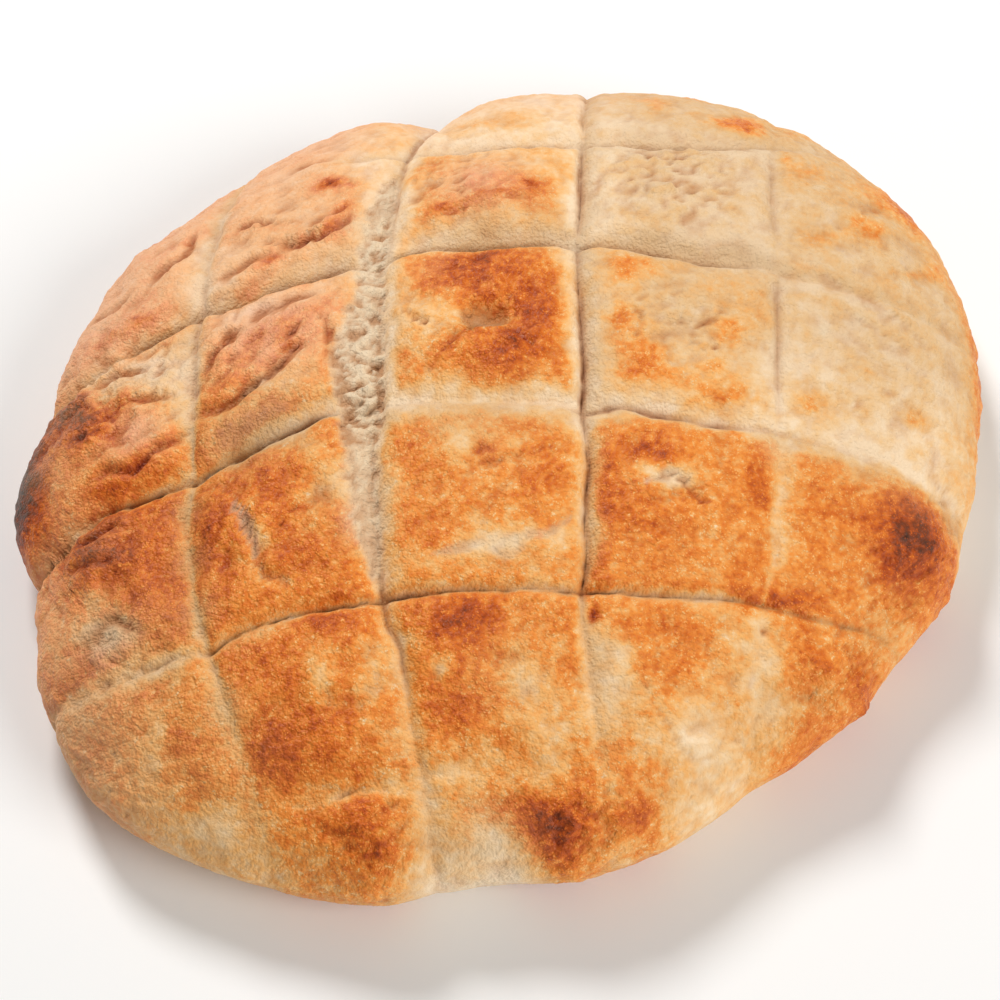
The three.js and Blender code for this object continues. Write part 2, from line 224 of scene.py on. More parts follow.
# Blisters: x, y, reach, rise
BLISTERS = [
    (88, -31, 14, 3), (70, -62, 11, 2.2), (24, -93, 9, 1.6), (12, -97, 10, 2), (-26, -102, 11, 1.8),
    (-94, -7, 14, 2), (-86, -36, 12, 2), (-4, 54, 17, 1.6), (-4, 5, 11, 1.2),
]

# Tears that show as more than one of folds, cracks and ledges: the points they run through
LONG_TEAR = [
    (-67, -5.5), (-62.5, -4.7), (-58.3, -3.5), (-56, -0.5), (-52.7, 2), (-49, 6), (-46, 9.3), (-42.5, 11),
]
LEFT_TEAR = [
    (-90.5, -19.5), (-86, -17.3), (-80.5, -18), (-78, -16), (-74.6, -13.5), (-71.6, -12), (-69.5, -9.8),
]
SHORT_TEAR = [(-91, 8), (-88, 10), (-84.4, 10.3), (-80.8, 10)]
STEEP_TEAR = [(-56.3, -30.4), (-54.2, -34.7), (-52.5, -39.5), (-51.8, -44.1)]
MIDDLE_TEAR = [(-6, -23.5), (1, -21.8), (7, -20.2), (11, -18.3)]
HOOKED_TEAR = [(-45, 42.5), (-41, 42.5), (-37, 45), (-35, 50.5)]

# Folds: depth, half width, how sharp the bottom is, and the points they run through
FOLDS = [
    # far left squares
    (1.3, 0.8, 0.7, [(-62, 50), (-58, 51), (-54, 50.2), (-50.5, 50.6)]),
    (1.8, 1.1, 0.8, [(-56, 44), (-50, 41), (-46.5, 40), *HOOKED_TEAR]),
    (1.2, 1.3, 0.3, [(-66, 32.8), (-62, 35), (-58, 37.5), (-53, 38.5), (-49, 39.5)]),
    (1.4, 1, 0.6, [(-81.5, 37.3), (-78, 40.6), (-74, 45), (-72, 46.5)]),
    (1.1, 0.9, 0.6, [(-74.5, 45.3), (-73.5, 49), (-72.3, 52.5)]),
    (0.7, 1.2, 0.2, [(-50, 71), (-46, 72), (-41, 73)]),
    (0.8, 0.9, 0.3, [(-44, 47), (-40, 48.5), (-36, 53)]),
    (0.7, 1, 0.2, [(-97, 30), (-90, 32), (-84, 36)]),
    # second row
    (2.3, 1.8, 0.8, LONG_TEAR),
    (1.9, 1.4, 0.8, [(-65.6, 5.2), (-63.8, 10.6), (-61.7, 13.8), (-58.6, 16.8)]),
    (1.5, 1.5, 0.4, [(-57.5, 18.5), (-53.8, 20.2), (-49.8, 21.5), (-46.6, 24), (-43, 24.5)]),
    (1.4, 1, 0.7, [(-49, 10.4), (-47, 13), (-44, 16.4)]),
    (1.4, 0.9, 0.8, [(-41, 18), (-38.7, 12), (-39, 5)]),
    (1.5, 1.2, 0.5, SHORT_TEAR),
    (1.6, 1.3, 0.8, [(-84.6, 1.5), (-81, 0), (-77.6, -0.2), (-74, 0.5)]),
    (1.3, 1.2, 0.8, LEFT_TEAR),
    (1.1, 1, 0.6, [(-95, -8), (-90, -7), (-85, -8)]),
    # third row
    (0.6, 1.1, 0.5, STEEP_TEAR),
    (1.2, 0.9, 0.5, [(-51.8, -44.1), (-50.2, -46.9), (-44.9, -49.8)]),
    (1, 0.9, 0.5, [(-82.2, -53.5), (-79.5, -55.2), (-75.4, -57.6)]),
    (1.2, 1, 0.6, [(-92, -34), (-86, -32), (-80, -31.5)]),
    (1.1, 1, 0.6, [(-94, -41), (-88, -39), (-82, -39.5)]),
    # fourth row
    (0.4, 0.8, 0.2, [(27, -68), (29, -71.5), (31, -75), (34.5, -80), (38, -84)]),
    # crackled crust of the pale squares
    (0.8, 0.6, 0.6, [(38, 17), (41, 14), (40.5, 10.5), (43.5, 8)]),
    (0.7, 0.6, 0.5, [(41, 14), (45, 16), (48, 18.5)]),
    (0.7, 0.5, 0.5, [(43.5, 8), (47, 9)]),
    (0.7, 0.6, 0.5, [(30.5, 22), (29, 18), (30, 14), (28.5, 10)]),
]

# Cracks in the crust: half width, depth, how much pale crumb they show, and the points they run through
CRACKS = [
    (0.9, 0.5, 0.8, [(-57.5, -3), (-55.5, -1), (-53, 0.5)]),
    (0.9, 1.1, 0, [(-13, 4), (-10, 9.5), (-5, 12.2), (0, 12), (4, 9), (8, 6)]),
    (0.8, 0.8, 0, [(-24, 18), (-20, 15), (-14, 13.5)]),
    # third row
    (1.3, 0.3, 1, STEEP_TEAR),
    (0.6, 0.5, 0, MIDDLE_TEAR),
    (1.5, 0.15, 0.45, [(-14, -45), (-9.5, -43.5), (-4.5, -42), (1.5, -40.5), (10, -38.5), (13.5, -35.5)]),
    (1.9, 0.15, 0.4, [(-3, -44), (1, -43.5), (4, -42.5)]),
    (1, 0.35, 0.7, [(26.5, -28), (32, -26.5), (35.5, -24), (38, -26)]),
    (0.6, 0.9, 0, [(35.5, -24), (40, -29), (45, -32.5)]),
]

# Torn ledges: rise, how far the raised side reaches, and the points they run through.
# The side on the left of the way along the points is the raised one.
LEDGES = [
    (1.2, 6, LONG_TEAR),
    (0.9, 6, LEFT_TEAR),
    (0.5, 4, STEEP_TEAR[::-1]),
    (2.6, 8, [(7, 5), (3, 7.5), (-0.5, 11), (-5, 11.2), (-9.5, 10.5), (-13, 5)]),
    (1, 4, [(-12, 17), (-8, 19.5), (-3, 20), (1, 18)]),
    (0.8, 5, MIDDLE_TEAR),
    (0.5, 5, [(27, -27), (30, -28), (33, -25), (36, -23), (40, -25.5), (46, -31)]),
    (0.2, 5, [(-12, -44), (-6, -42.5), (0, -43), (6, -41), (9, -38.5)]),
    (1.2, 4, HOOKED_TEAR),
    (0.7, 4, SHORT_TEAR),
    (1.4, 8, [(-20, 47.5), (-15, 47), (-9, 48.5), (-2, 50.5), (4.5, 51), (7.5, 53.5), (5, 57.5), (2, 61)]),
    (1, 4, [(-26, 17), (-20, 15), (-14, 13.5)]),
    (1, 5, [(60, 33), (72, 33), (84, 28), (97, 17)]),
    (0.7, 5, [(64, 25), (76, 24), (88, 18), (97, 8)]),
]

# Pits with a flat floor: x, y, half length, half width, depth, bearing in degrees.
# Their walls lie between two shares of those halves.
PITS = [
    (-4.5, 15.3, 5.2, 3.2, 1.5, 5), (-82, -56, 7, 3.5, 0.5, -15), (-49, 42, 2, 1.2, 0.5, -30),
]
PIT_WALL = (1.25, 0.65)

# Hollows, the broad ones of the tears first: x, y, half length, half width, depth, bearing in degrees if any
HOLLOWS = [
    (-3, 16, 7, 5, 1.08), (-2, -42, 13, 4, 0.3, 14), (35, -25, 9, 3.5, 0.6, -12), (44, 67, 4, 1.4, 0.6, 50),
    (53, 52, 3, 1, 0.7, -60), (52, 45.5, 1.5, 1.2, 0.5), (-5, -20, 2, 1.5, 1.4), (-82, 57, 3, 1.5, 1, 50),
    (-12, 30, 2, 1.3, 0.8, 20), (-6, 33, 2.2, 1.6, 0.9, 40), (-10, 54.5, 2, 1.2, 0.8, 30),
    (-8, 68, 2, 1.5, 0.6, 60), (-17, 67, 3, 1.5, 0.6, 10), (18.3, -57, 2.8, 1.4, 1.3, 65),
    (-14, -70, 4, 2, 0.9, 80), (77, -2, 2.5, 1, 0.6, 60), (71, 18, 2, 1, -0.5, 90),
    (85, 3, 3, 1.5, 0.5, 20), (54, -57, 1.5, 1, 0.8),
]

# Hollows and blisters are narrower than patches of colour with the same reach
RELIEF_POWER = 2

# How lumpy, flaky and grainy the crust is everywhere, and where it is more so: x, y, reach, and the three
PLAIN_RELIEF = (0.5, 0.2, 0.8)
RELIEF_PATCHES = [
    (-85, 45, 22, 0.7, 0.5, 1.6), (-56, 55, 24, 0.7, 0.6, 1.6), (-43, 46, 9, 1.4, 1.2, 2),
    (-88, 2, 18, 2.2, 1.8, 3), (-54, 8, 22, 1.4, 1.2, 2.4), (-88, -36, 15, 1.8, 1.4, 2.8),
    (-52, -32, 20, 1.6, 1.3, 2), (-10, 58, 17, 1.7, 1.3, 1.4), (-4, 16, 17, 1.6, 1.6, 1.8),
    (38, 61, 17, 2.8, 0.4, 1.6), (-39.5, 61.6, 4, 1.8, 1.5, 3), (38, 14, 16, 1.4, 0.4, 1.4),
    (84, 52, 22, 0.9, 0.6, 1.2), (84, 8, 24, 0.7, 0.4, 1.2), (-2, -28, 17, 0.9, 0.8, 1.6),
    (36, -28, 17, 0.9, 0.9, 1.6), (84, -32, 16, 1.2, 0.9, 2.4), (-80, -62, 20, 1.2, 0.9, 1.6),
    (-78, -82, 20, 0.9, 0.5, 1.5), (-38, -74, 18, 0.9, 0.7, 1.6), (-2, -70, 17, 0.8, 0.7, 1.6),
    (36, -72, 18, 0.5, 0.4, 1.4), (70, -60, 12, 1.2, 0.9, 2), (14, -97, 12, 1.3, 1, 2.4),
    (-28, -100, 12, 1.3, 1, 2.4),
]

# Relief that covers the crust: broad swells, lumps, grains on browned levels, and flakes, torn in steps
BROAD_LUMPS = [(0.6, 17), (0.4, 8)]
LUMPS = [(0.4, 5.2), (0.3, 3)]
GRAINS = [(0.16, 2.2)]
GRAINY_LEVELS = (0.08, 0.4)
WRINKLE_BEARING = 35
FLAKE_STRETCH = 1.7
FLAKE_SIZE = 10
FLAKE_OCTAVES = 3
FLAKE_STEPS = 2
FLAKE_EDGE = 0.1
FLAKE_HEIGHT = 1.1
CRAGGY_FLAKES = (0.5, 2)

# Ridges on the far left squares, and where they fade in along X and along Y
RIDGED = ((-22, -45), (-32, -12))
RIDGE_STRETCH = 2.6
RIDGE_SIZE = 5.5
RIDGE_HEIGHT = 0.35

# How brown each square is before its spots, from the far row to the near one and from left to right
SQUARE_LEVELS = [
    [0.18, 0.16, 0.06, 0.06, 0.08],
    [0.22, 0.20, 0.22, 0.04, 0.14],
    [0.36, 0.33, 0.42, 0.15, 0.08],
    [0.53, 0.46, 0.32, 0.40, 0.36],
    [0.34, 0.46, 0.38, 0.31, 0.33],
    [0.28, 0.37, 0.36, 0.17, 0.29],
]
SQUARE_BLEND = 2.5  # half width of the change from one square to the next

# Browned (+) and pale (-) spots: x, y, half length, half width, change of level, bearing in degrees if any
SPOTS = [
    # far left squares
    (-82, 57, 3, 2, 0.2, 40), (-75, 49, 3, 2, 0.2, 60), (-93, 22, 10, 4, 0.22, 30),
    (-80, 25, 10, 4, 0.22, 20), (-40, 61, 4, 3, 0.45), (-36, 51, 4, 3, 0.35, 70),
    (-53, 37, 4, 2.5, 0.35, 20), (-47, 76, 6, 4, 0.12, 60), (-57, 49, 6, 2, 0.15, -10),
    (-37, 44, 5, 2, 0.2, 30),
    # second row, left
    (-95, -1, 11, 5, 0.34, -40), (-90, -10, 10, 7, 0.2, 10), (-88, -1, 4, 3, 0.2),
    (-84, 9, 8, 5, -0.26, 30), (-76, 6, 4, 8, -0.25), (-80, -20, 14, 4, 0.18, 15),
    (-50, 12, 12, 6, 0.16, 35), (-61, -2, 5, 4, 0.16, 60), (-54, 1, 9, 2, -0.34, 38),
    (-52, 22, 12, 3, -0.25, 17), (-62, 18, 8, 6, -0.18), (-55, -10, 12, 4, 0.1, 30),
    # The spots at (-52, -10) and (-53, 30) are painted shade: browner crust on the walls above the score
    # lines below them
    (-42, 28, 10, 4, -0.08, 15), (-80, -9, 7, 4, -0.12, 20), (-52, -10, 13, 2.5, 0.3, 30),
    (-38, 14, 4, 8, 0.06), (-53, 30, 14, 2.5, 0.2, 15),
    # second row, middle
    (-10, 27, 11, 6, 0.2, 20), (6, 19, 5, 9, 0.19), (-5, 33, 3, 3, 0.08), (-2, 2.5, 6.5, 4.5, 0.27),
    (12, 16, 2.5, 14, 0.08), (-5, 15.5, 5, 3, -0.35), (-18, 16, 7, 6, -0.3), (-19, 8, 6, 8, -0.1),
    # second row, right
    (26, 30, 5, 5, 0.3), (26, 15, 4, 5, 0.31), (28, 3, 6, 5, 0.3), (50, 13, 3, 4, 0.22), (38, 0, 6, 4, 0.2),
    (49, -3, 6, 3, 0.22), (46, 4, 3, 3, 0.14), (67, -3, 5, 3.5, 0.24), (91, -1, 3, 3, 0.3),
    (78, 13, 3, 2, 0.1), (106, 15, 5, 18, -0.05, -5), (98, 43, 6, 3, 0.2, 30),
    # far rows, middle and right
    (-5, 54.5, 12, 6, 0.14, 5), (-15, 47.5, 5, 3, 0.28, 10), (6.5, 55, 4, 3, 0.25), (9, 51, 5, 5, 0.1),
    (-15, 68, 7, 3, 0.12, 10), (56, 85.5, 10, 5, 0.45, 5), (0, 84, 15, 4, 0.14), (36, 94, 6, 4, 0.2),
    (84, 51, 5.5, 3.5, 0.16, 40), (75, 46, 6, 3, 0.18, 20), (94, 66, 6, 8, 0.45, 30), (32, 46, 7, 3, 0.12),
    (72, 71, 6, 4, 0.1),
    # third row
    (-86, -35, 10, 6, 0.15, -15), (-77, -40, 8, 5, 0.09), (-84, -55, 7, 4, -0.4, -15),
    (-85, -48, 4, 2, -0.3, -10), (-96, -54, 6, 12, -0.14, 10), (-53.5, -37, 2.5, 7, -0.3, 15),
    (-48, -48, 5, 1.6, -0.2, -20), (-47, -38, 6, 7, 0.16), (-60, -36, 4, 6, 0.1), (-41, -20, 5, 8, -0.15),
    (-45, -22, 10, 5, 0.08, 30), (-19, -18, 5, 6, 0.16), (-5, -20, 2.5, 2, 0.3), (-10, -19, 3, 3, -0.2),
    (8, -26, 7, 5, 0.16), (8, -38, 6, 5, 0.1), (8, -14, 6, 4, 0.1), (-16, -36, 7, 6, 0.14),
    (-1, -42, 12, 2.5, -0.28, 14), (30, -19, 6, 4, 0.26, 20), (34, -25, 8, 2.2, -0.42, -12),
    (54, -24, 3, 9, 0.16), (28, -38, 9, 6, 0.1), (20, -30, 2.5, 13, 0.14), (72, -14, 12, 3, -0.2, 5),
    (90, -17, 9, 3.5, -0.3, -15), (99, -27, 3, 9, -0.35, 10), (89, -30.5, 9, 12, 0.52, -15),
    (83, -40, 6, 5, 0.2), (75, -28, 9, 8, 0.1),
    # fourth row
    (-72, -70, 3.5, 3, 0.2), (-64, -80, 5, 6, 0.16), (-85, -76, 6, 6, 0.12), (-62, -90, 6, 4, 0.1, -20),
    (-76, -64, 10, 2.5, -0.22, 20), (-71, -82, 3, 10, -0.14), (-37, -70, 3, 8, -0.2, 15),
    (-34, -58, 8, 5, 0.14, 15), (-44, -85, 9, 7, 0.16), (-10, -59, 11, 8, 0.24, 15),
    (-13, -69, 2, 4, -0.36), (2, -70, 8, 5, -0.13, 30), (-10, -76, 7, 7, 0.2), (3, -81, 7, 5, -0.12),
    (10, -80, 6, 9, -0.09), (32, -60, 10, 7, 0.18), (24, -58, 6, 4, 0.15), (-27, -72, 3, 12, -0.15, 10),
    (40, -80, 10, 8, -0.24, -40), (23, -68, 4, 10, -0.2, 8), (18.3, -57.3, 2.6, 1.3, 0.4, 65),
    (24, -80, 3.5, 7, 0.12), (54, -63, 3.5, 8, -0.12, 15), (74, -63, 6, 6, 0.38, 20),
    (74, -74, 6, 5, -0.12, 40), (63, -60, 5, 6, 0.12), (63, -76, 9, 4, 0.26, 35), (57, -50, 7, 2.5, 0.28),
    # near edge
    (-27, -102, 6.5, 4.5, 0.31, 10), (-34, -97, 12, 4, 0.2), (11.5, -98, 6, 4.5, 0.55, 20),
    (4, -96, 6, 4, 0.32), (26, -94, 6, 4.5, 0.56, 20), (-2, -101, 10, 4, -0.33, -15),
    (-60, -97, 16, 4, -0.12, -25),
]


# Layers of noise that make the spots waver and mottle the crust, and how much browner raised skin is
SPOT_WOBBLE = [(2.2, 9), (1.1, 3.5)]
MOTTLING = [(0.10, 12), (0.08, 5), (0.07, 2.2)]
SKIN_BROWNING = 0.05

# How much of the browning the strips beside the score lines lack, and how much less that is on the near side
UNBAKED_SHARE = 0.9
NEAR_BAKING = 0.3
NEAR_FADE = (0, -40)

# Flour or crumb that whitens the crust, greyish crust partly painted shade, and painted rosy sheen: x, y,
# reach, amount
FLOURY = [
    (70, 37, 3, 0.4), (80, 22, 2, 0.4), (71, 17, 1.8, 0.6), (61, 33, 5, 0.3), (16, 37.5, 3.5, 0.6),
    (-33, 45, 4, 0.5), (-87, 8, 4, 0.3), (-79, 6, 4, 0.35), (-3, -102, 7, 0.4), (59, -15, 4, 0.25),
    (-29, -36, 4, 1), (-30, -27, 4, 0.8), (-83, -57, 5, 0.6),
]
# Greyish dull crust; on some walls that face away from the light, as at (-50, -9) and (-59, -14), it is
# painted shade
GREYISH_AND_SHADED = [
    (-97, 2, 9, 0.3), (-100, -12, 6, 0.35), (-85, -75, 18, 0.22), (-75, -60, 12, 0.25), (-86, -35, 8, 0.2),
    (-60, -88, 14, 0.2), (80, -8, 14, 0.25), (-50, -9, 8, 0.6), (-59, -14, 7, 0.6), (85, 12, 14, 0.1),
    (-6, -13, 8, 0.35), (-5, 44, 7, 0.35), (8, 44, 7, 0.35), (0, -70, 8, 0.15), (-67.5, -30, 4, 0.4),
    (-66, -42, 4, 0.4), (-63.5, -54, 4, 0.4), (-57, -75, 4, 0.3),
]
# The rosy patches are painted sheen where the light falls
PAINTED_SHEEN_PATCHES = [(-6, 58, 11, 0.8), (-12, 30, 6, 0.4), (-52, 12, 12, 0.6), (-80, -9, 7, 0.9)]
PIT_DULLNESS = 0.45
PAINTED_SHEEN_LEVELS = (0.62, 0.35)  # between which levels browner crust stops being rosy

# Pale squares on the far right are dusty: how much, and where and at which levels that fades in
DUST = 0.5
DUSTY = ((15, 35), (-12, 20))
DUSTY_LEVELS = (0.35, 0.15)

# A painted rosy sheen on the far left squares, and on a rim at the far side and on the left
PAINTED_SHEEN_SQUARES = ((-15, -45), (-10, 25))
PAINTED_SHEEN_INNER = 0.6
PAINTED_SHEEN_STRIP_LOSS = 0.7
PAINTED_SHEEN_RIM = 0.5
RIM_FADE = (0.7, 1.0)
FAR_RIM = ((60, 10), (20, 60))
LEFT_RIM_X = (-60, -90)

# The side wall is paler: from which share of the radius, how much browning it lacks, and its own level
WALL_FADE = (0.86, 0.97)
WALL_PALING = 0.3
WALL_LEVEL = 0.06

# Strips of the side wall that burnt or stayed pale: bearing and half width in degrees, height, half height,
# change of level
WALL_SPOTS = [
    (184, 7, 20, 10, 0.5), (191, 5, 12, 10, 0.45), (192, 5, 24, 9, 0.24), (8, 16, 16, 6, 0.3),
    (267, 8, 8, 8, -0.3), (120, 40, 14, 12, 0.1), (60, 30, 14, 12, 0.15),
]

# The net: where the score lines cross its -1 to 1 span, and how many steps lie between them
COLUMN_PLACES = [-1, -0.504, -0.191, 0.125, 0.426, 1]
COLUMN_STEPS = [74, 47, 47, 45, 87]
ROW_PLACES = [-1, -0.675, -0.375, -0.05, 0.296, 0.566, 1]
ROW_STEPS = [49, 45, 49, 52, 40, 65]
STEP_CROWDING = 0.35
GIRTH_PLACE = 0.9
GIRTH_POWER = 6
SLIDE_FADE = (0.55, 0.88)
SLIDE_PASSES = 3

# The underside: how far and how broadly it is hollowed, and where that and its own colour fade in
FOOT_LIFT = 0.3
FOOT_LUMP_SIZE = 14
FOOT_LIFT_FADE = (1.0, 0.9)
FOOT_FADE = (0.5, 1.0)

# Rings of the underside, from the foot's edge inward: share of the foot, and whether the count halves there
FOOT_RINGS = [
    (0.985, False), (0.95, True), (0.89, False), (0.82, False), (0.73, True), (0.62, False), (0.50, False),
    (0.38, True), (0.25, False), (0.12, True),
]

# The baked colours as they look in even light: level, and sRGB of 255
BAKE_COLOURS = [
    (0.00, (250, 226, 194)),
    (0.12, (244, 205, 154)),
    (0.25, (244, 182, 108)),
    (0.38, (240, 148, 62)),
    (0.52, (220, 114, 34)),
    (0.66, (184, 80, 22)),
    (0.80, (124, 56, 26)),
    (0.92, (84, 50, 36)),
    (1.00, (62, 44, 38)),
]

# What else tints the crust, in this order: attribute, strength, blend, and sRGB of 255
# The rosy tint is painted sheen, the dull tint is greyish crust and painted shade, and the crease and cavity
# tints are painted shade
TINTS = [
    ("painted_sheen", 0.7, "MIX", (242, 186, 154)),
    ("dull_and_shade", 0.8, "MIX", (204, 168, 124)),
    ("crumb", 0.85, "MIX", (229, 209, 180)),
    ("crease_and_shade", 0.75, "MULTIPLY", (165, 114, 72)),
    ("painted_cavity_shade", 0.75, "MULTIPLY", (196, 146, 100)),
]

# Noises of the materials: size of the features in millimetres, detail, roughness
FINE_NOISE = (0.8, 2.0, 0.6)
SMALL_NOISE = (1.6, 2.0, 0.5)
MEDIUM_NOISE = (5.0, 2.0, 0.55)
CLUSTER_NOISE = (3.0, 3.0, 0.55)
FLECK_NOISE = (1.2, 4.0, 0.7)
FOOT_NOISE = (22.0, 4.0, 0.55)
FLOOR_NOISE = (400.0, 2.0, 0.55)

# Grains: their size, and how fine and how strong the noise is that scatters them, for their size
SPECK_SIZE = 0.7
GRAIN_SHAKE_SCALE = 0.6
GRAIN_SHAKE = 1.2

# How the materials turn one value into another: low and high, and what they become
BROWNED = (0.12, 0.40, 0.0, 1.0)
# Dots and flecks make pale specks on browned crust: grains, and painted glints
DOTS = (0.38, 0.1, 0.0, 0.7)
CLUSTERS = (0.42, 0.6, 0.15, 1.0)
FLECKS = (0.55, 0.72, 0.0, 0.9)
MOTTLED = (0.0, 0.5, 0.18, 0.52)
GRAIN_HEIGHTS = (0.05, 0.4, -0.1, -0.3)
SMALL_HEIGHTS = (0.05, 0.4, 0.2, 0.5)
FINE_HEIGHTS = (0.05, 0.3, 0.38, 0.3)
CRUST_ROUGHNESS = (0.1, 0.6, 0.65, 0.45)
FLOOR_ROUGHNESS = (0.3, 0.7, 0.75, 0.85)

# How strongly the parts of the crust's colour and relief work
DOT_RAGGEDNESS = 0.8
CRAGGY_MOTTLING = 0.15
MEDIUM_MOTTLING = 0.2
SPECK_AND_GLINT_PALING = 0.28
FOOT_LEVEL = 0.05
FOOT_MOTTLING = 0.55
DULL_GRAIN = 0.2
CRAGGY_ROUGHNESS = 0.4
BUMP_STRENGTH = 0.75
BUMP_DISTANCE = 1.0
SPECULAR_LEVEL = 0.25
SHEEN_WEIGHT = 0.07
SHEEN_ROUGHNESS = 0.4
SHEEN_COLOUR = (255, 236, 224)

# The floor lies a little under the loaf
FLOOR_COLOUR = (247, 250, 254)
FLOOR_SIZE = 6000
FLOOR_DROP = 0.4

# The view: the photo was taken from above the near edge
CAMERA_ELEVATION = 57
CAMERA_DISTANCE = 530
CAMERA_TARGET = (-1.0, -11.7, 13.0)
CAMERA_LENS = 85
CAMERA_SENSOR = 36

# Light: an even sky, a key from behind and to the left, and a soft fill from the front right, slightly warm.
# Distances and sizes are in metres, angles in degrees and power in watts.
SKY_COLOUR = (1.0, 0.95, 0.87)
SKY_STRENGTH = 0.22
KEY = {
    "azimuth": -155, "elevation": 48, "distance": 1.3,
    "size": 0.4, "power": 12.2, "colour": (1.0, 0.97, 0.93),
}
FILL = {
    "azimuth": 55, "elevation": 33, "distance": 1.6,
    "size": 1.0, "power": 16.5, "colour": (1.0, 0.96, 0.9),
}


def smoothstep(low, high, value):
    """A smooth step from 0 at low to 1 at high."""
    u = np.clip((value - low) / (high - low), 0, 1)
    return u * u * (3 - 2 * u)


def curve_through(rows, place):
    """A smooth curve through (place, value, ...) rows, straight beyond its ends."""
    places, values = np.array([row[:2] for row in rows], float).T
    last = len(places) - 1
    ahead = np.minimum(np.arange(last + 1) + 1, last)
    behind = np.maximum(np.arange(last + 1) - 1, 0)
    slopes = (values[ahead] - values[behind]) / (places[ahead] - places[behind])
    k = np.clip(np.searchsorted(places, place, side="right") - 1, 0, last - 1)
    span = places[k + 1] - places[k]
    u = np.clip((place - places[k]) / span, 0, 1)
    curve = values[k] + (values[k + 1] - values[k]) * smoothstep(0, 1, u)
    curve += span * (u * (1 - u) ** 2 * slopes[k] + u * u * (u - 1) * slopes[k + 1])
    beyond = np.minimum(place - places[0], 0) * slopes[0] + np.maximum(place - places[last], 0) * slopes[last]
    return curve + beyond


def steps_through(rows, place, column):
    """Straight steps through one column of values over the rows' places, level beyond their ends."""
    return np.interp(place, [row[0] for row in rows], [row[column] for row in rows])


def hashed(cell, seed):
    """A number from -1 to 1 for each whole-number lattice cell, mixed up with large odd numbers."""
    mask = np.int64(0xFFFFFFFF)
    mixed = cell[..., 0] * 374761393 + cell[..., 1] * 668265263 + cell[..., 2] * 2246822519
    mixed = (mixed + seed * 3266489917) & mask
    mixed = ((mixed ^ (mixed >> 15)) * 1274126177) & mask
    mixed = ((mixed ^ (mixed >> 13)) * 1103515245) & mask
    return ((mixed ^ (mixed >> 16)) & np.int64(0xFFFF)) / 32767.5 - 1


CORNERS = np.array([(i, j, k) for i in (0, 1) for j in (0, 1) for k in (0, 1)], np.int64)
NOISE_GAIN = 1.4


def noise(points, size, seed):
    """Smooth gradient noise, about -1 to 1, with features of the given size."""
    scaled = points / size
    cell = np.floor(scaled).astype(np.int64)
    inside = scaled - cell
    ease = inside ** 3 * (inside * (inside * 6 - 15) + 10)
    total = np.zeros(len(points))
    for corner in CORNERS:
        at = cell + corner
        slope = np.stack([hashed(at, seed + 7 * axis) for axis in range(3)], -1)
        weight = np.prod(np.where(corner == 1, ease, 1 - ease), axis=-1)
        total += weight * np.sum(slope * (inside - corner), axis=-1)
    return total * NOISE_GAIN


def fractal(points, size, octaves, seed):
    """Noise with finer and weaker noise on top."""
    total = np.zeros(len(points))
    for octave in range(octaves):
        total += 0.5 ** octave * noise(points, size / 2 ** octave, seed + 31 * octave)
    return total


def billow(points, size, seed):
    """Rounded lumps with sharp valleys between them."""
    return 2.4 * np.abs(noise(points, size, seed)) - 0.5


def ridges(points, size, seed):
    """Sharp ridges with rounded valleys between them."""
    return 0.5 - 2.2 * np.abs(noise(points, size, seed))


def layered(values, points, layers, seed, kind=noise):
    """Values with layers of noise added, each given as its height and the size of its features."""
    for k, (height, size) in enumerate(layers):
        values = values + height * kind(points, size, seed + k)
    return values


def wobbled(x, y, points, layers, seed):
    """Places in plan, moved about by layers of noise."""
    return layered(x, points, layers, seed), layered(y, points, layers, seed + len(layers))


def turned(x, y, bearing=0):
    """Distances along and across a bearing in degrees."""
    c, s = math.cos(math.radians(bearing)), math.sin(math.radians(bearing))
    return x * c + y * s, y * c - x * s


def stretched(points, bearing, times):
    """Points for noise whose features are the given number of times as long along a bearing as across it."""
    along, across = turned(points[:, 0], points[:, 1], bearing)
    return np.stack([along / times, across, points[:, 2]], -1)


def degrees_past(bearing, middle):
    """How far one bearing in degrees lies past another, from -180 to 180."""
    return (bearing - middle + 180) % 360 - 180


def outline_radius(bearing):
    """The widest radius of the loaf at a bearing in radians."""
    turn = bearing - math.radians(LONG_AXIS_BEARING)
    along, across = LONG_DIAMETER / 2, SHORT_DIAMETER / 2
    radius = along * across / np.hypot(across * np.cos(turn), along * np.sin(turn))
    for middle, spread, out in OUTLINE_SWELLS:
        radius = radius + out * np.exp(-(degrees_past(np.degrees(bearing), middle) / spread) ** 2)
    return radius


def dome_height(share):
    """The height of the dome at a share of the outline's radius."""
    return GIRTH_HEIGHT + (HEIGHT - GIRTH_HEIGHT) * np.sqrt(np.maximum(0, 1 - share ** 2))


def below_girth(place):
    """The share of the way from the girth, 0, to the foot, 1."""
    return np.clip((place - GIRTH_PLACE) / (1 - GIRTH_PLACE), 0, 1)


def side_profile(place):
    """The share of the outline's radius and the height between the crown, 0, and the foot, 1."""
    u = np.minimum(place / GIRTH_PLACE, 1)
    share = u * (1 + 1 / GIRTH_POWER) - u ** (GIRTH_POWER + 1) / GIRTH_POWER
    quarter = below_girth(place) * math.pi / 2
    under = place > GIRTH_PLACE
    height = np.where(under, GIRTH_HEIGHT * (1 - np.sin(quarter)), dome_height(share))
    return np.where(under, FOOT_SHARE + (1 - FOOT_SHARE) * np.cos(quarter), share), height


def net_places(places, steps):
    """Places from -1 to 1 with the given steps between the given places, finer beside each of them."""
    result = [np.array([places[0]], float)]
    for k, count in enumerate(steps):
        u = np.arange(1, count + 1) / count
        crowded = u - STEP_CROWDING * np.sin(2 * math.pi * u) / (2 * math.pi)
        result.append(places[k] + (places[k + 1] - places[k]) * crowded)
    return np.concatenate(result)


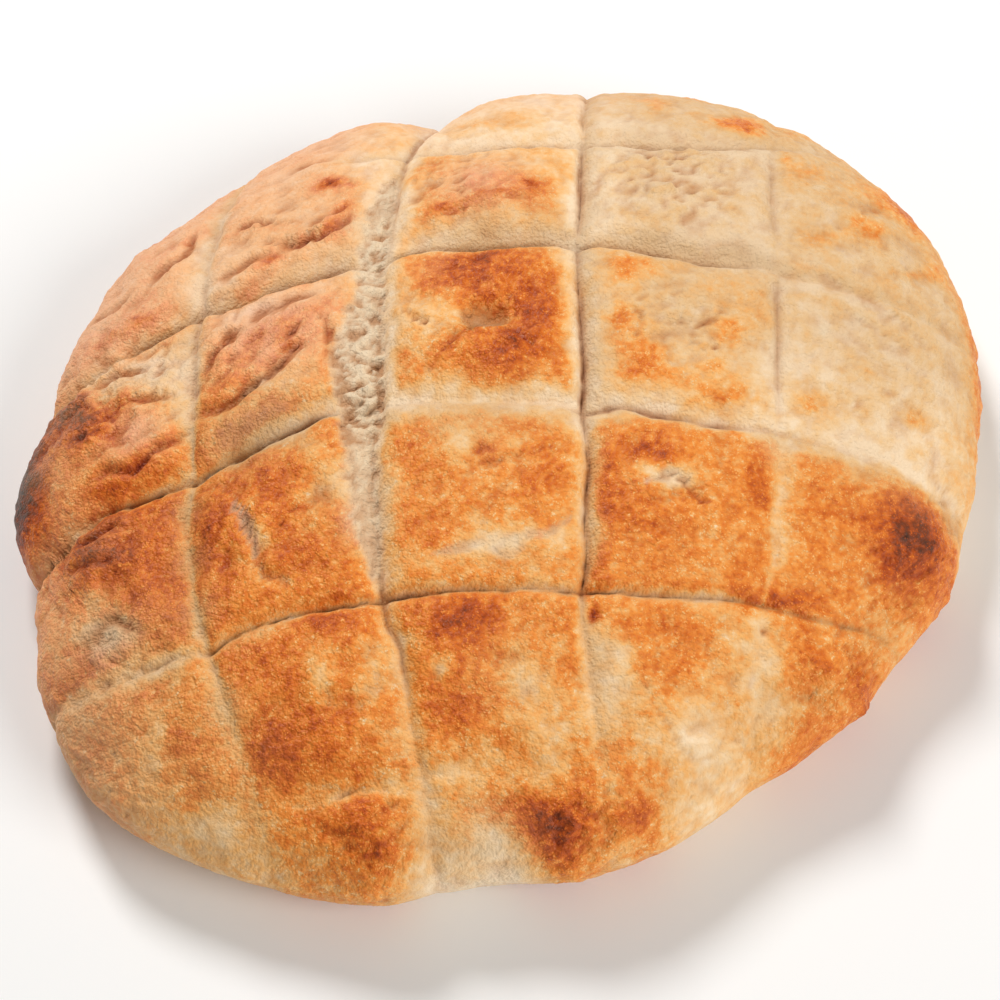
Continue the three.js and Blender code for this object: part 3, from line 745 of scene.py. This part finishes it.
def slide(moving, other, place, marks, lines):
    """Slides each string of net points, along the first axis, so that its marked points land on the lines."""
    hold = 1 - smoothstep(*SLIDE_FADE, place)
    steps = np.arange(len(moving))
    shifts = np.zeros((len(marks), moving.shape[1]))
    for k, mark in enumerate(marks[1:-1], start=1):
        shifts[k] = hold[mark] * (curve_through(lines[k - 1], other[mark]) - moving[mark])
    k = np.clip(np.searchsorted(marks, steps, side="right") - 1, 0, len(marks) - 2)
    u = ((steps - marks[k]) / (marks[k + 1] - marks[k]))[:, None]
    return moving + hold * (shifts[k] * (1 - u) + shifts[k + 1] * u)


def crust_net():
    """Plan places x and y, profile places and side heights of the net that follows the score lines."""
    columns, rows = net_places(COLUMN_PLACES, COLUMN_STEPS), net_places(ROW_PLACES, ROW_STEPS)
    a, b = np.meshgrid(columns, rows, indexing="ij")
    disc_x, disc_y = a * np.sqrt(1 - b * b / 2), b * np.sqrt(1 - a * a / 2)
    place = np.minimum(1, np.hypot(disc_x, disc_y))
    bearing = np.arctan2(disc_y, disc_x)
    share, height = side_profile(place)
    radius = share * outline_radius(bearing)
    x = MIDDLE[0] + radius * np.cos(bearing)
    y = MIDDLE[1] + radius * np.sin(bearing)
    column_marks = np.cumsum([0] + COLUMN_STEPS)
    row_marks = np.cumsum([0] + ROW_STEPS)
    for _ in range(SLIDE_PASSES):
        x = slide(x, y, place, column_marks, COLUMN_LINES)
        y = slide(y.T, x.T, place.T, row_marks, ROW_LINES).T
    return x, y, place, height


def score_lines(x, y, points):
    """The depth of the score lines, their sharp creases, which also get painted shade, and the unbaked strips
    beside them, dull and partly painted shade.
    """
    ragged = np.maximum(LEAST_STRIP, layered(1, points, STRIP_RAGGED, SEEDS["strip"]))
    patchy = np.clip(layered(CREASE_SHARE, points, CREASE_PATCHES, SEEDS["crease_and_shade"]), LEAST_CREASE, 1)
    depths = []
    crease_and_shade, pale, dull_and_shade = np.zeros((3, len(x)))
    families = ((ROW_LINES, ROW_SIDES, x, y), (COLUMN_LINES, COLUMN_SIDES, y, x))
    for lines, sides, along, across in families:
        deepest = np.zeros_like(x)
        for line, (walls, hollows, dullness_and_shade) in zip(lines, sides):
            depth, sharp, reach_before, reach_beyond = (steps_through(line, along, k) for k in range(2, 6))
            away = across - curve_through(line, along)
            beyond = smoothstep(-SIDE_BLEND, SIDE_BLEND, away)
            reach = (reach_before + (reach_beyond - reach_before) * beyond) * ragged
            strip = np.minimum(depth / FULL_STRIP_DEPTH, 1) * np.exp(-(away / reach) ** 2)
            wall = np.where(away > 0, walls[1], walls[0])
            bend = np.where(away > 0, hollows[1], hollows[0])
            cut = WALL_SHARE * np.maximum(0, 1 - np.abs(away) / wall) ** bend
            puff = PUFF_SHARE * np.maximum(0, 1 - np.abs(away) / PUFF_REACH) ** 2
            deepest = np.maximum(deepest, depth * (cut + puff))
            crease_and_shade = np.maximum(crease_and_shade, sharp * patchy * np.exp(-(away / CREASE_WIDTH) ** 2))
            pale = np.maximum(pale, strip)
            dull_and_shade = np.maximum(dull_and_shade, strip * (dullness_and_shade[0] + (dullness_and_shade[1] - dullness_and_shade[0]) * beyond))
        depths.append(deepest)
    both = (depths[0] ** CROSSING_POWER + depths[1] ** CROSSING_POWER) ** (1 / CROSSING_POWER)
    return both, crease_and_shade, pale, dull_and_shade


def torn_seam(x, y, points):
    """How open the torn seam is, 0 to 1, the height of its crumb, and how deep its holes go, which sets their
    painted shade.
    """
    ragged = layered(0, points, SEAM_RAGGED, SEEDS["seam"])
    opening, deep, rough = (steps_through(SEAM, y, k) for k in (1, 2, 3))
    across = curve_through(COLUMN_LINES[1], y) - x
    right_wall = smoothstep(-SEAM_EDGE, SEAM_EDGE, across + SEAM_RIGHT_SHARE * ragged)
    left_wall = 1 - smoothstep(-SEAM_EDGE, SEAM_EDGE, across - opening + ragged)
    opened = right_wall * left_wall * np.clip(opening / SEAM_EDGE, 0, 1)
    pulled = stretched(points, CRUMB_BEARING, CRUMB_STRETCH)
    seed = SEEDS["crumb"]
    lumps = layered(layered(0, pulled, PULLED_LUMPS, seed, billow), points, ROUND_LUMPS, seed + 1, billow)
    holes = layered(layered(0, points, ROUND_HOLES, seed + 2), pulled, PULLED_HOLES, seed + 3)
    relief = (lumps - HOLE_DEPTH * smoothstep(*HOLE_EDGE, holes)) * rough
    return opened, relief - deep, smoothstep(*SHADED_HOLES, relief)


def region(x, y, fades):
    """1 inside a region in plan that fades in between two places along X and two along Y."""
    return smoothstep(*fades[0], x) * smoothstep(*fades[1], y)


def patches(x, y, rows, power=1):
    """Soft round patches of the given amounts, smaller with a higher power."""
    total = np.zeros_like(x)
    for at_x, at_y, reach, amount in rows:
        total += amount * np.exp(-power * (np.hypot(x - at_x, y - at_y) / reach) ** 2)
    return total


def ovals(x, y, rows, power=1):
    """Soft oval patches of the given amounts, smaller with a higher power."""
    total = np.zeros_like(x)
    for at_x, at_y, length, width, amount, *bearing in rows:
        along, across = turned(x - at_x, y - at_y, *bearing)
        total += amount * np.exp(-power * ((along / length) ** 2 + (across / width) ** 2))
    return total


def flat_pits(x, y):
    """The depth of the flat-floored pits, and where their floors are."""
    depth, floor = np.zeros((2, len(x)))
    for at_x, at_y, length, width, deep, bearing in PITS:
        along, across = turned(x - at_x, y - at_y, bearing)
        inside = smoothstep(*PIT_WALL, np.hypot(along / length, across / width))
        depth = np.maximum(depth, deep * inside)
        floor = np.maximum(floor, inside)
    return depth, floor


def along_chain(x, y, chain):
    """The distance to a chain of straight pieces, above 0 on its left, and the share of the way along it."""
    nearest = np.full_like(x, np.inf)
    side = np.ones_like(x)
    share = np.zeros_like(x)
    pieces = len(chain) - 1
    for k, ((from_x, from_y), (to_x, to_y)) in enumerate(zip(chain, chain[1:])):
        step_x, step_y = to_x - from_x, to_y - from_y
        u = np.clip(((x - from_x) * step_x + (y - from_y) * step_y) / (step_x ** 2 + step_y ** 2), 0, 1)
        away = np.hypot(x - from_x - u * step_x, y - from_y - u * step_y)
        closer = away < nearest
        side = np.where(closer, np.sign(step_x * (y - from_y) - step_y * (x - from_x)), side)
        share = np.where(closer, (k + u) / pieces, share)
        nearest = np.minimum(nearest, away)
    return nearest * side, share


def tapered(share):
    """1 in the middle of a chain, falling towards both its ends."""
    return np.sin(math.pi * np.clip(share, CHAIN_END, 1 - CHAIN_END)) ** 0.5


def cracks(x, y):
    """The depth of the cracks, their curled lips, and how much pale crumb they show."""
    depth, lip, shown = np.zeros((3, len(x)))
    for half_width, deep, pale, chain in CRACKS:
        away, share = along_chain(x, y, chain)
        away = np.abs(away)
        width = half_width * (CRACK_END + (1 - CRACK_END) * np.sin(math.pi * share))
        opened = smoothstep(*CRACK_WALL, away / width)
        from_lip = (away - CRACK_LIP_PLACE * width) / (CRACK_LIP_WIDTH * width)
        depth = np.maximum(depth, deep * opened)
        lip = np.maximum(lip, CRACK_LIP * deep * np.exp(-from_lip ** 2))
        shown = np.maximum(shown, pale * opened)
    return depth, lip, shown


def folds(x, y):
    """The depth of the folds and how sharp their bottoms are."""
    depth, sharp = np.zeros((2, len(x)))
    for deep, half_width, sharpness, chain in FOLDS:
        away, share = along_chain(x, y, chain)
        ends = tapered(share)
        lip = FOLD_LIP * np.exp(-((np.abs(away) - FOLD_LIP_PLACE * half_width) / half_width) ** 2)
        depth = depth + deep * ends * (np.exp(-(away / half_width) ** 2) - lip)
        sharp = np.maximum(sharp, sharpness * ends * np.exp(-(away / FOLD_CREASE) ** 2))
    return depth, sharp


def ledges(x, y):
    """How far the torn ledges rise above the crust beside them, and how near their edges are."""
    raised, edge = np.zeros((2, len(x)))
    for rise, reach, chain in LEDGES:
        away, share = along_chain(x, y, chain)
        ends = tapered(share)
        step = smoothstep(-LEDGE_STEP, LEDGE_STEP, away)
        raised += rise * ends * step * np.exp(-np.maximum(away, 0) / reach)
        edge = np.maximum(edge, rise * ends * np.exp(-((away - LEDGE_EDGE_PLACE) / LEDGE_EDGE) ** 2))
    return raised, edge


def relief_weights(x, y):
    """How lumpy, flaky and grainy the crust is at each place."""
    weights = np.repeat(np.array(PLAIN_RELIEF)[:, None], len(x), axis=1)
    for at_x, at_y, reach, *amounts in RELIEF_PATCHES:
        weights = np.maximum(weights, np.outer(amounts, patches(x, y, [(at_x, at_y, reach, 1)])))
    return weights


def terraces(value, steps, edge):
    """A smooth value made into flat steps with the given share of an edge between them."""
    scaled = value * steps
    whole = np.floor(scaled)
    return (whole + smoothstep(0.5 - edge, 0.5 + edge, scaled - whole)) / steps


def wrinkles(x, y, points):
    """Relief that covers the crust, the grains of browned crust, and how craggy the crust is."""
    lumpy, flaky, grainy = relief_weights(x, y)
    ridged = RIDGE_HEIGHT * region(x, y, RIDGED)
    ridge_points = stretched(points, WRINKLE_BEARING, RIDGE_STRETCH)
    flake_points = stretched(points, WRINKLE_BEARING, FLAKE_STRETCH)
    flakes = fractal(flake_points, FLAKE_SIZE, FLAKE_OCTAVES, SEEDS["flake"])
    flakes = terraces(flakes, FLAKE_STEPS, FLAKE_EDGE)
    skin = layered(0, points, BROAD_LUMPS, SEEDS["broad"])
    skin = skin + ridged * ridges(ridge_points, RIDGE_SIZE, SEEDS["ridge"])
    skin = skin + lumpy * layered(0, points, LUMPS, SEEDS["lump"], billow) + FLAKE_HEIGHT * flaky * flakes
    grains = grainy * layered(0, points, GRAINS, SEEDS["grain"], billow)
    return skin, grains, smoothstep(*CRAGGY_FLAKES, flaky)


def smoothed(values, reach):
    """Values on the net, each averaged with those up to the given number of steps away along both axes."""
    for axis in (0, 1):
        margins = [(reach, reach) if side == axis else (0, 0) for side in (0, 1)]
        padded = np.pad(values, margins, mode="edge")
        values = np.lib.stride_tricks.sliding_window_view(padded, 2 * reach + 1, axis=axis).mean(axis=-1)
    return values


def square_levels(x, y):
    """How brown the square is that a place lies in."""
    by_row = []
    for row in SQUARE_LEVELS:
        level = np.full_like(x, row[0])
        for k, line in enumerate(COLUMN_LINES):
            past = smoothstep(-SQUARE_BLEND, SQUARE_BLEND, x - curve_through(line, y))
            level += (row[k + 1] - row[k]) * past
        by_row.append(level)
    level = by_row[0]
    for k, line in enumerate(reversed(ROW_LINES)):
        past = smoothstep(-SQUARE_BLEND, SQUARE_BLEND, curve_through(line, x) - y)
        level = level + (by_row[k + 1] - by_row[k]) * past
    return level


def browning(points, share, pale, skin):
    """How brown the crust is, from 0, unbaked, to 1, charred."""
    x, y, height = points.T
    spots = ovals(*wobbled(x, y, points, SPOT_WOBBLE, SEEDS["spot"]), SPOTS)
    unbaked = UNBAKED_SHARE - NEAR_BAKING * smoothstep(*NEAR_FADE, y)
    level = (square_levels(x, y) + spots) * (1 - unbaked * pale) + SKIN_BROWNING * skin
    level += layered(0, points, MOTTLING, SEEDS["mottle"])
    bearing = np.degrees(np.arctan2(y - MIDDLE[1], x - MIDDLE[0]))
    wall = smoothstep(*WALL_FADE, share)
    level = level * (1 - WALL_PALING * wall) + WALL_LEVEL * wall
    for middle, spread, wall_height, reach, change in WALL_SPOTS:
        away = degrees_past(bearing, middle) / spread
        level = level + wall * change * np.exp(-(away ** 2 + ((height - wall_height) / reach) ** 2))
    return level


def painted_sheen_share(x, y, share, pale):
    """How much painted rosy sheen lies on the far left squares, and on the rim at the far side and on the
    left.
    """
    rim = smoothstep(*RIM_FADE, share)
    inward = PAINTED_SHEEN_INNER + (1 - PAINTED_SHEEN_INNER) * rim
    squares = region(x, y, PAINTED_SHEEN_SQUARES) * inward * (1 - PAINTED_SHEEN_STRIP_LOSS * pale)
    edges = np.maximum(region(x, y, FAR_RIM), smoothstep(*LEFT_RIM_X, x))
    return np.maximum(squares, PAINTED_SHEEN_RIM * rim * edges)


def smooth_loaf(x, y, place, side_height):
    """The smooth loaf's points, the way out of it at each, and the share of the outline's radius."""
    dx, dy = x - MIDDLE[0], y - MIDDLE[1]
    radius = outline_radius(np.arctan2(dy, dx))
    on_dome = place < GIRTH_PLACE
    share = np.hypot(dx, dy) / radius
    height = np.where(on_dome, dome_height(share), side_height)
    tall = np.where(on_dome, HEIGHT - GIRTH_HEIGHT, GIRTH_HEIGHT)
    normal = np.stack([dx / radius ** 2, dy / radius ** 2, (height - GIRTH_HEIGHT) / tall ** 2], -1)
    normal /= np.linalg.norm(normal, axis=-1, keepdims=True)
    return np.stack([x, y, height], -1), normal, share


def crust():
    """The crust's points in millimetres, what the material needs to know of each, and the net's shape."""
    net = crust_net()
    x, y, place, side_height = (values.ravel() for values in net)
    points, normal, share = smooth_loaf(x, y, place, side_height)

    scored, crease_and_shade, pale, dull_and_shade = score_lines(*wobbled(x, y, points, SCORE_WOBBLE, SEEDS["score"]), points)
    seam, seam_crumb, seam_holes = torn_seam(x, y, points)
    whole = 1 - seam
    torn_place = wobbled(x, y, points, TEAR_WOBBLE, SEEDS["tear"])
    crack_depth, lip, crack_crumb = cracks(*torn_place)
    fold_depth, fold_crease = folds(*torn_place)
    pit_depth, pit_floor = flat_pits(*torn_place)
    raised, torn_edge = ledges(*torn_place)
    skin, grains, craggy = wrinkles(x, y, points)

    level = browning(points, share, np.maximum(pale, seam), skin)
    dusty = DUST * region(x, y, DUSTY) * smoothstep(*DUSTY_LEVELS, level)
    level += LEDGE_BROWNING * np.minimum(torn_edge, 1)

    hollows = ovals(x, y, HOLLOWS, RELIEF_POWER) + pit_depth + crack_depth + fold_depth - lip
    out = patches(x, y, BLISTERS, RELIEF_POWER) + raised - scored + seam * seam_crumb - hollows
    creased = CREASE_DEPTH * crease_and_shade * np.minimum(scored / FULL_CREASE_DEPTH, 1)
    out += whole * (skin + grains * smoothstep(*GRAINY_LEVELS, level) - creased) + SEAM_SKIN * seam * skin
    # How far each place lies below its neighbours, for the painted shade in cavities
    fine = out + scored
    sunk = smoothed(fine.reshape(net[0].shape), CAVITY_SHADE_REACH).ravel() - fine
    under = below_girth(place)

    # Painted shade: darker crust in the creases of score lines and folds, in cracks that show no crumb, and
    # in the seam's holes
    painted_shade = np.maximum(crease_and_shade, fold_crease) * whole + CRACK_SHADE * crack_depth * (1 - crack_crumb)
    # Painted sheen: a rosy tint where the light falls on the far left and on the rim, less on browner crust
    painted_sheen = (painted_sheen_share(x, y, share, pale) + patches(x, y, PAINTED_SHEEN_PATCHES)) * smoothstep(*PAINTED_SHEEN_LEVELS, level)
    looks = {
        "bake": level,
        "crumb": np.maximum(seam, crack_crumb) + patches(*torn_place, FLOURY),
        "crease_and_shade": painted_shade + HOLE_SHADE * seam * seam_holes,
        "dull_and_shade": dull_and_shade * whole + PIT_DULLNESS * pit_floor + dusty + patches(x, y, GREYISH_AND_SHADED),
        "painted_sheen": painted_sheen,
        "painted_cavity_shade": sunk / CAVITY_SHADE_DEPTH,
        "craggy": craggy,
        "foot": smoothstep(*FOOT_FADE, under),
    }
    points = points + normal * (out * (1 - under) ** 2)[:, None]
    return points, {name: np.clip(values, 0, 1) for name, values in looks.items()}, net[0].shape


def underside(points, rim):
    """Rings of points under the foot, from its edge to the middle, and the faces between them."""
    new_points, faces = [], []
    start = len(points)
    outer = rim
    edge = points[rim]
    step = 1
    for share, halved in FOOT_RINGS:
        step = step * 2 if halved else step
        ring = edge[::step].copy()
        ring[:, :2] = MIDDLE + (ring[:, :2] - MIDDLE) * share
        lift = FOOT_LIFT * (1 + noise(ring, FOOT_LUMP_SIZE, SEEDS["foot"]))
        ring[:, 2] = np.maximum(0, lift * smoothstep(*FOOT_LIFT_FADE, share))
        inner = start + np.arange(len(ring))
        start += len(ring)
        new_points.append(ring)
        ahead = np.roll(inner, -1)
        if halved:
            first, middle, last = outer[0::2], outer[1::2], np.roll(outer[0::2], -1)
            faces += [*zip(first, inner, middle), *zip(middle, inner, ahead), *zip(middle, ahead, last)]
        else:
            faces += [*zip(outer, inner, ahead, np.roll(outer, -1))]
        outer = inner
    new_points.append(np.array([[*MIDDLE, FOOT_LIFT]]))
    faces += [(here, start, there) for here, there in zip(outer, np.roll(outer, -1))]
    return np.concatenate(new_points), faces


def loaf_mesh():
    """One closed mesh of the crust and the underside, with the looks as point attributes."""
    points, looks, (columns, rows) = crust()
    number = np.arange(columns * rows).reshape(columns, rows)
    quads = np.stack([number[:-1, :-1], number[1:, :-1], number[1:, 1:], number[:-1, 1:]], -1).reshape(-1, 4)
    rim = np.concatenate([number[:-1, 0], number[-1, :-1], number[:0:-1, -1], number[0, :0:-1]])
    foot_points, foot_faces = underside(points, rim)
    everything = np.concatenate([points, foot_points]) * MM
    mesh = bpy.data.meshes.new("somun_crust")
    mesh.from_pydata(everything.tolist(), [], quads.tolist() + [tuple(map(int, face)) for face in foot_faces])
    mesh.shade_smooth()
    for name, values in looks.items():
        under_value = 1.0 if name == "foot" else 0.0
        full = np.concatenate([values, np.full(len(foot_points), under_value)])
        attribute = mesh.attributes.new(name, "FLOAT", "POINT")
        attribute.data.foreach_set("value", full.astype(np.float32))
    mesh.validate()
    return mesh


def linear(colour):
    """An sRGB colour of 255 as the linear colour that a shader takes."""
    parts = [channel / 255 for channel in colour]
    return [c / 12.92 if c <= 0.04045 else ((c + 0.055) / 1.055) ** 2.4 for c in parts] + [1.0]


class Shader:
    """Short ways to add nodes to a material."""

    def __init__(self, name):
        self.material = bpy.data.materials.new(name)
        self.material.use_nodes = True
        self.tree = self.material.node_tree
        self.coordinates = self.tree.nodes.new("ShaderNodeTexCoord").outputs["Object"]

    def fed(self, node, inputs):
        """A node with each of the given inputs linked or set."""
        for name, value in inputs.items():
            if isinstance(value, bpy.types.NodeSocket):
                self.tree.links.new(value, node.inputs[name])
            else:
                node.inputs[name].default_value = value
        return node

    def dressed(self, inputs):
        """The material with the given inputs of its surface linked or set."""
        self.fed(self.tree.nodes["Principled BSDF"], inputs)
        return self.material

    def attribute(self, name):
        node = self.tree.nodes.new("ShaderNodeAttribute")
        node.attribute_name = name
        return node.outputs["Fac"]

    def math(self, operation, *values):
        node = self.tree.nodes.new("ShaderNodeMath")
        node.operation = operation
        return self.fed(node, dict(enumerate(values))).outputs[0]

    def times(self, first, second):
        return self.math("MULTIPLY", first, second)

    def plus(self, value, extra, strength=1.0):
        """A value with something else added in the given strength."""
        return self.math("MULTIPLY_ADD", extra, strength, value)

    def span(self, value, low, high, new_low, new_high):
        """A value smoothly carried over from one span to another, and held at its ends."""
        node = self.tree.nodes.new("ShaderNodeMapRange")
        node.interpolation_type = "SMOOTHSTEP"
        names = ("Value", "From Min", "From Max", "To Min", "To Max")
        return self.fed(node, dict(zip(names, (value, low, high, new_low, new_high)))).outputs["Result"]

    def noise(self, size, detail, roughness):
        """Noise about a middle of 0.5, with features of the given size in millimetres."""
        node = self.tree.nodes.new("ShaderNodeTexNoise")
        scale = 1 / (size * MM)
        inputs = {"Vector": self.coordinates, "Scale": scale, "Detail": detail, "Roughness": roughness}
        return self.fed(node, inputs).outputs["Fac"]

    def swing(self, size, detail, roughness):
        """The same noise about a middle of 0."""
        return self.plus(self.noise(size, detail, roughness), -0.5)

    def grains(self, size):
        """The distance to the nearest of scattered middles, in sizes."""
        scale = 1 / (size * MM)
        shake = self.tree.nodes.new("ShaderNodeTexNoise")
        self.fed(shake, {"Vector": self.coordinates, "Scale": GRAIN_SHAKE_SCALE * scale})
        shift = self.tree.nodes.new("ShaderNodeVectorMath")
        shift.operation = "MULTIPLY_ADD"
        self.fed(shift, {0: shake.outputs["Color"], 1: (GRAIN_SHAKE / scale,) * 3, 2: self.coordinates})
        node = self.tree.nodes.new("ShaderNodeTexVoronoi")
        return self.fed(node, {"Vector": shift.outputs["Vector"], "Scale": scale}).outputs["Distance"]

    def ramp(self, value, stops):
        node = self.fed(self.tree.nodes.new("ShaderNodeValToRGB"), {"Fac": value})
        elements = node.color_ramp.elements
        while len(elements) < len(stops):
            elements.new(0.5)
        for element, (position, colour) in zip(elements, stops):
            element.position = position
            element.color = linear(colour)
        return node.outputs["Color"]

    def mix(self, share, first, second, blend):
        """Two colours blended. The node has other sockets for numbers, so those for colours go by place."""
        node = self.tree.nodes.new("ShaderNodeMix")
        node.data_type = "RGBA"
        node.blend_type = blend
        return self.fed(node, {"Factor": share, 6: first, 7: second}).outputs[2]


def crust_colour(shader, bake, near, fine, small):
    """Colour from how brown the crust is, with pale specks that are grains and painted glints, mottling and
    the tints of its other looks.
    """
    # Pale specks on browned crust, from dots and flecks: grains, and painted glints
    dots = shader.span(shader.plus(near, fine, -DOT_RAGGEDNESS), *DOTS)
    dots = shader.times(dots, shader.span(shader.noise(*CLUSTER_NOISE), *CLUSTERS))
    flecks = shader.span(shader.noise(*FLECK_NOISE), *FLECKS)
    grains_and_glints = shader.times(shader.math("MAXIMUM", dots, flecks), shader.span(bake, *BROWNED))
    mottling = shader.plus(shader.span(bake, *MOTTLED), shader.attribute("craggy"), CRAGGY_MOTTLING)
    level = shader.plus(bake, small, mottling)
    level = shader.plus(level, shader.swing(*MEDIUM_NOISE), MEDIUM_MOTTLING)
    level = shader.plus(level, grains_and_glints, -SPECK_AND_GLINT_PALING)

    foot = shader.attribute("foot")
    foot_level = shader.plus(FOOT_LEVEL, shader.noise(*FOOT_NOISE), FOOT_MOTTLING)
    level = shader.plus(shader.times(foot_level, foot), level, shader.plus(1.0, foot, -1.0))
    colour = shader.ramp(level, BAKE_COLOURS)
    for name, strength, blend, tint in TINTS:
        share = shader.times(shader.attribute(name), strength)
        colour = shader.mix(share, colour, linear(tint), blend)
    return colour


def crust_bump(shader, bake, near, fine, small):
    """Normals of the finest relief: grains, and two sizes of roughness."""
    dull_and_shade = shader.attribute("dull_and_shade")
    grain_height = shader.plus(shader.span(bake, *GRAIN_HEIGHTS), dull_and_shade, -DULL_GRAIN)
    rough = shader.plus(shader.span(bake, *SMALL_HEIGHTS), shader.attribute("crumb"))
    rough = shader.plus(rough, shader.plus(shader.attribute("craggy"), dull_and_shade), CRAGGY_ROUGHNESS)
    height = shader.plus(shader.times(near, grain_height), small, rough)
    height = shader.plus(height, fine, shader.span(bake, *FINE_HEIGHTS))
    bump = shader.tree.nodes.new("ShaderNodeBump")
    shader.fed(bump, {"Strength": BUMP_STRENGTH, "Distance": BUMP_DISTANCE * MM, "Height": height})
    return bump.outputs["Normal"]


def crust_material():
    """Baked crust: browned by its level, speckled with pale grains and painted glints, pale crumb in seam and
    tears.
    """
    shader = Shader("baked_crust")
    bake = shader.attribute("bake")
    noises = shader.grains(SPECK_SIZE), shader.swing(*FINE_NOISE), shader.swing(*SMALL_NOISE)
    return shader.dressed({
        "Base Color": crust_colour(shader, bake, *noises),
        "Roughness": shader.span(bake, *CRUST_ROUGHNESS),
        "Normal": crust_bump(shader, bake, *noises),
        "Specular IOR Level": SPECULAR_LEVEL,
        "Sheen Weight": SHEEN_WEIGHT,
        "Sheen Roughness": SHEEN_ROUGHNESS,
        "Sheen Tint": linear(SHEEN_COLOUR),
    })


def floor_material():
    """A plain pale floor with a slightly uneven finish."""
    shader = Shader("pale_floor")
    finish = shader.span(shader.noise(*FLOOR_NOISE), *FLOOR_ROUGHNESS)
    return shader.dressed({"Base Color": linear(FLOOR_COLOUR), "Roughness": finish})


def put(name, data):
    piece = bpy.data.objects.new(name, data)
    bpy.context.scene.collection.objects.link(piece)
    return piece


def direction(azimuth, elevation):
    """From the loaf towards a light: azimuth 0 is the viewer's side, 90 the right, 180 behind."""
    a, e = math.radians(azimuth), math.radians(elevation)
    return Vector((math.sin(a) * math.cos(e), -math.cos(a) * math.cos(e), math.sin(e)))


def add_loaf():
    loaf = put("somun", loaf_mesh())
    loaf.data.materials.append(crust_material())
    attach(loaf, "root")
    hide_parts(NODE)


def add_floor():
    mesh = bpy.data.meshes.new("floor")
    half = FLOOR_SIZE / 2 * MM
    corners = [(x, y, -FLOOR_DROP * MM) for x in (-half, half) for y in (-half, half)]
    mesh.from_pydata(corners, [], [(0, 2, 3, 1)])
    floor = put("floor", mesh)
    mesh.materials.append(floor_material())


def add_light(name, azimuth, elevation, distance, size, power, colour):
    data = bpy.data.lights.new(name, "AREA")
    data.shape = "DISK"
    data.size = size
    data.energy = power
    data.color = colour
    light = put(name, data)
    light.location = direction(azimuth, elevation) * distance
    light.rotation_euler = (-light.location).to_track_quat("-Z", "Y").to_euler()


def add_sky():
    world = bpy.data.worlds.new("studio")
    world.use_nodes = True
    background = world.node_tree.nodes["Background"]
    background.inputs["Color"].default_value = (*SKY_COLOUR, 1.0)
    background.inputs["Strength"].default_value = SKY_STRENGTH
    bpy.context.scene.world = world


def add_camera():
    data = bpy.data.cameras.new("camera")
    data.lens = CAMERA_LENS
    data.sensor_width = CAMERA_SENSOR
    camera = put("camera", data)
    target = Vector(CAMERA_TARGET) * MM
    camera.location = target + direction(0, CAMERA_ELEVATION) * CAMERA_DISTANCE * MM
    camera.rotation_euler = (target - camera.location).to_track_quat("-Z", "Y").to_euler()
    bpy.context.scene.camera = camera


add_camera()
add_loaf()
add_floor()
add_sky()
add_light("key", **KEY)
add_light("fill", **FILL)
bpy.context.scene.view_settings.view_transform = "Standard"
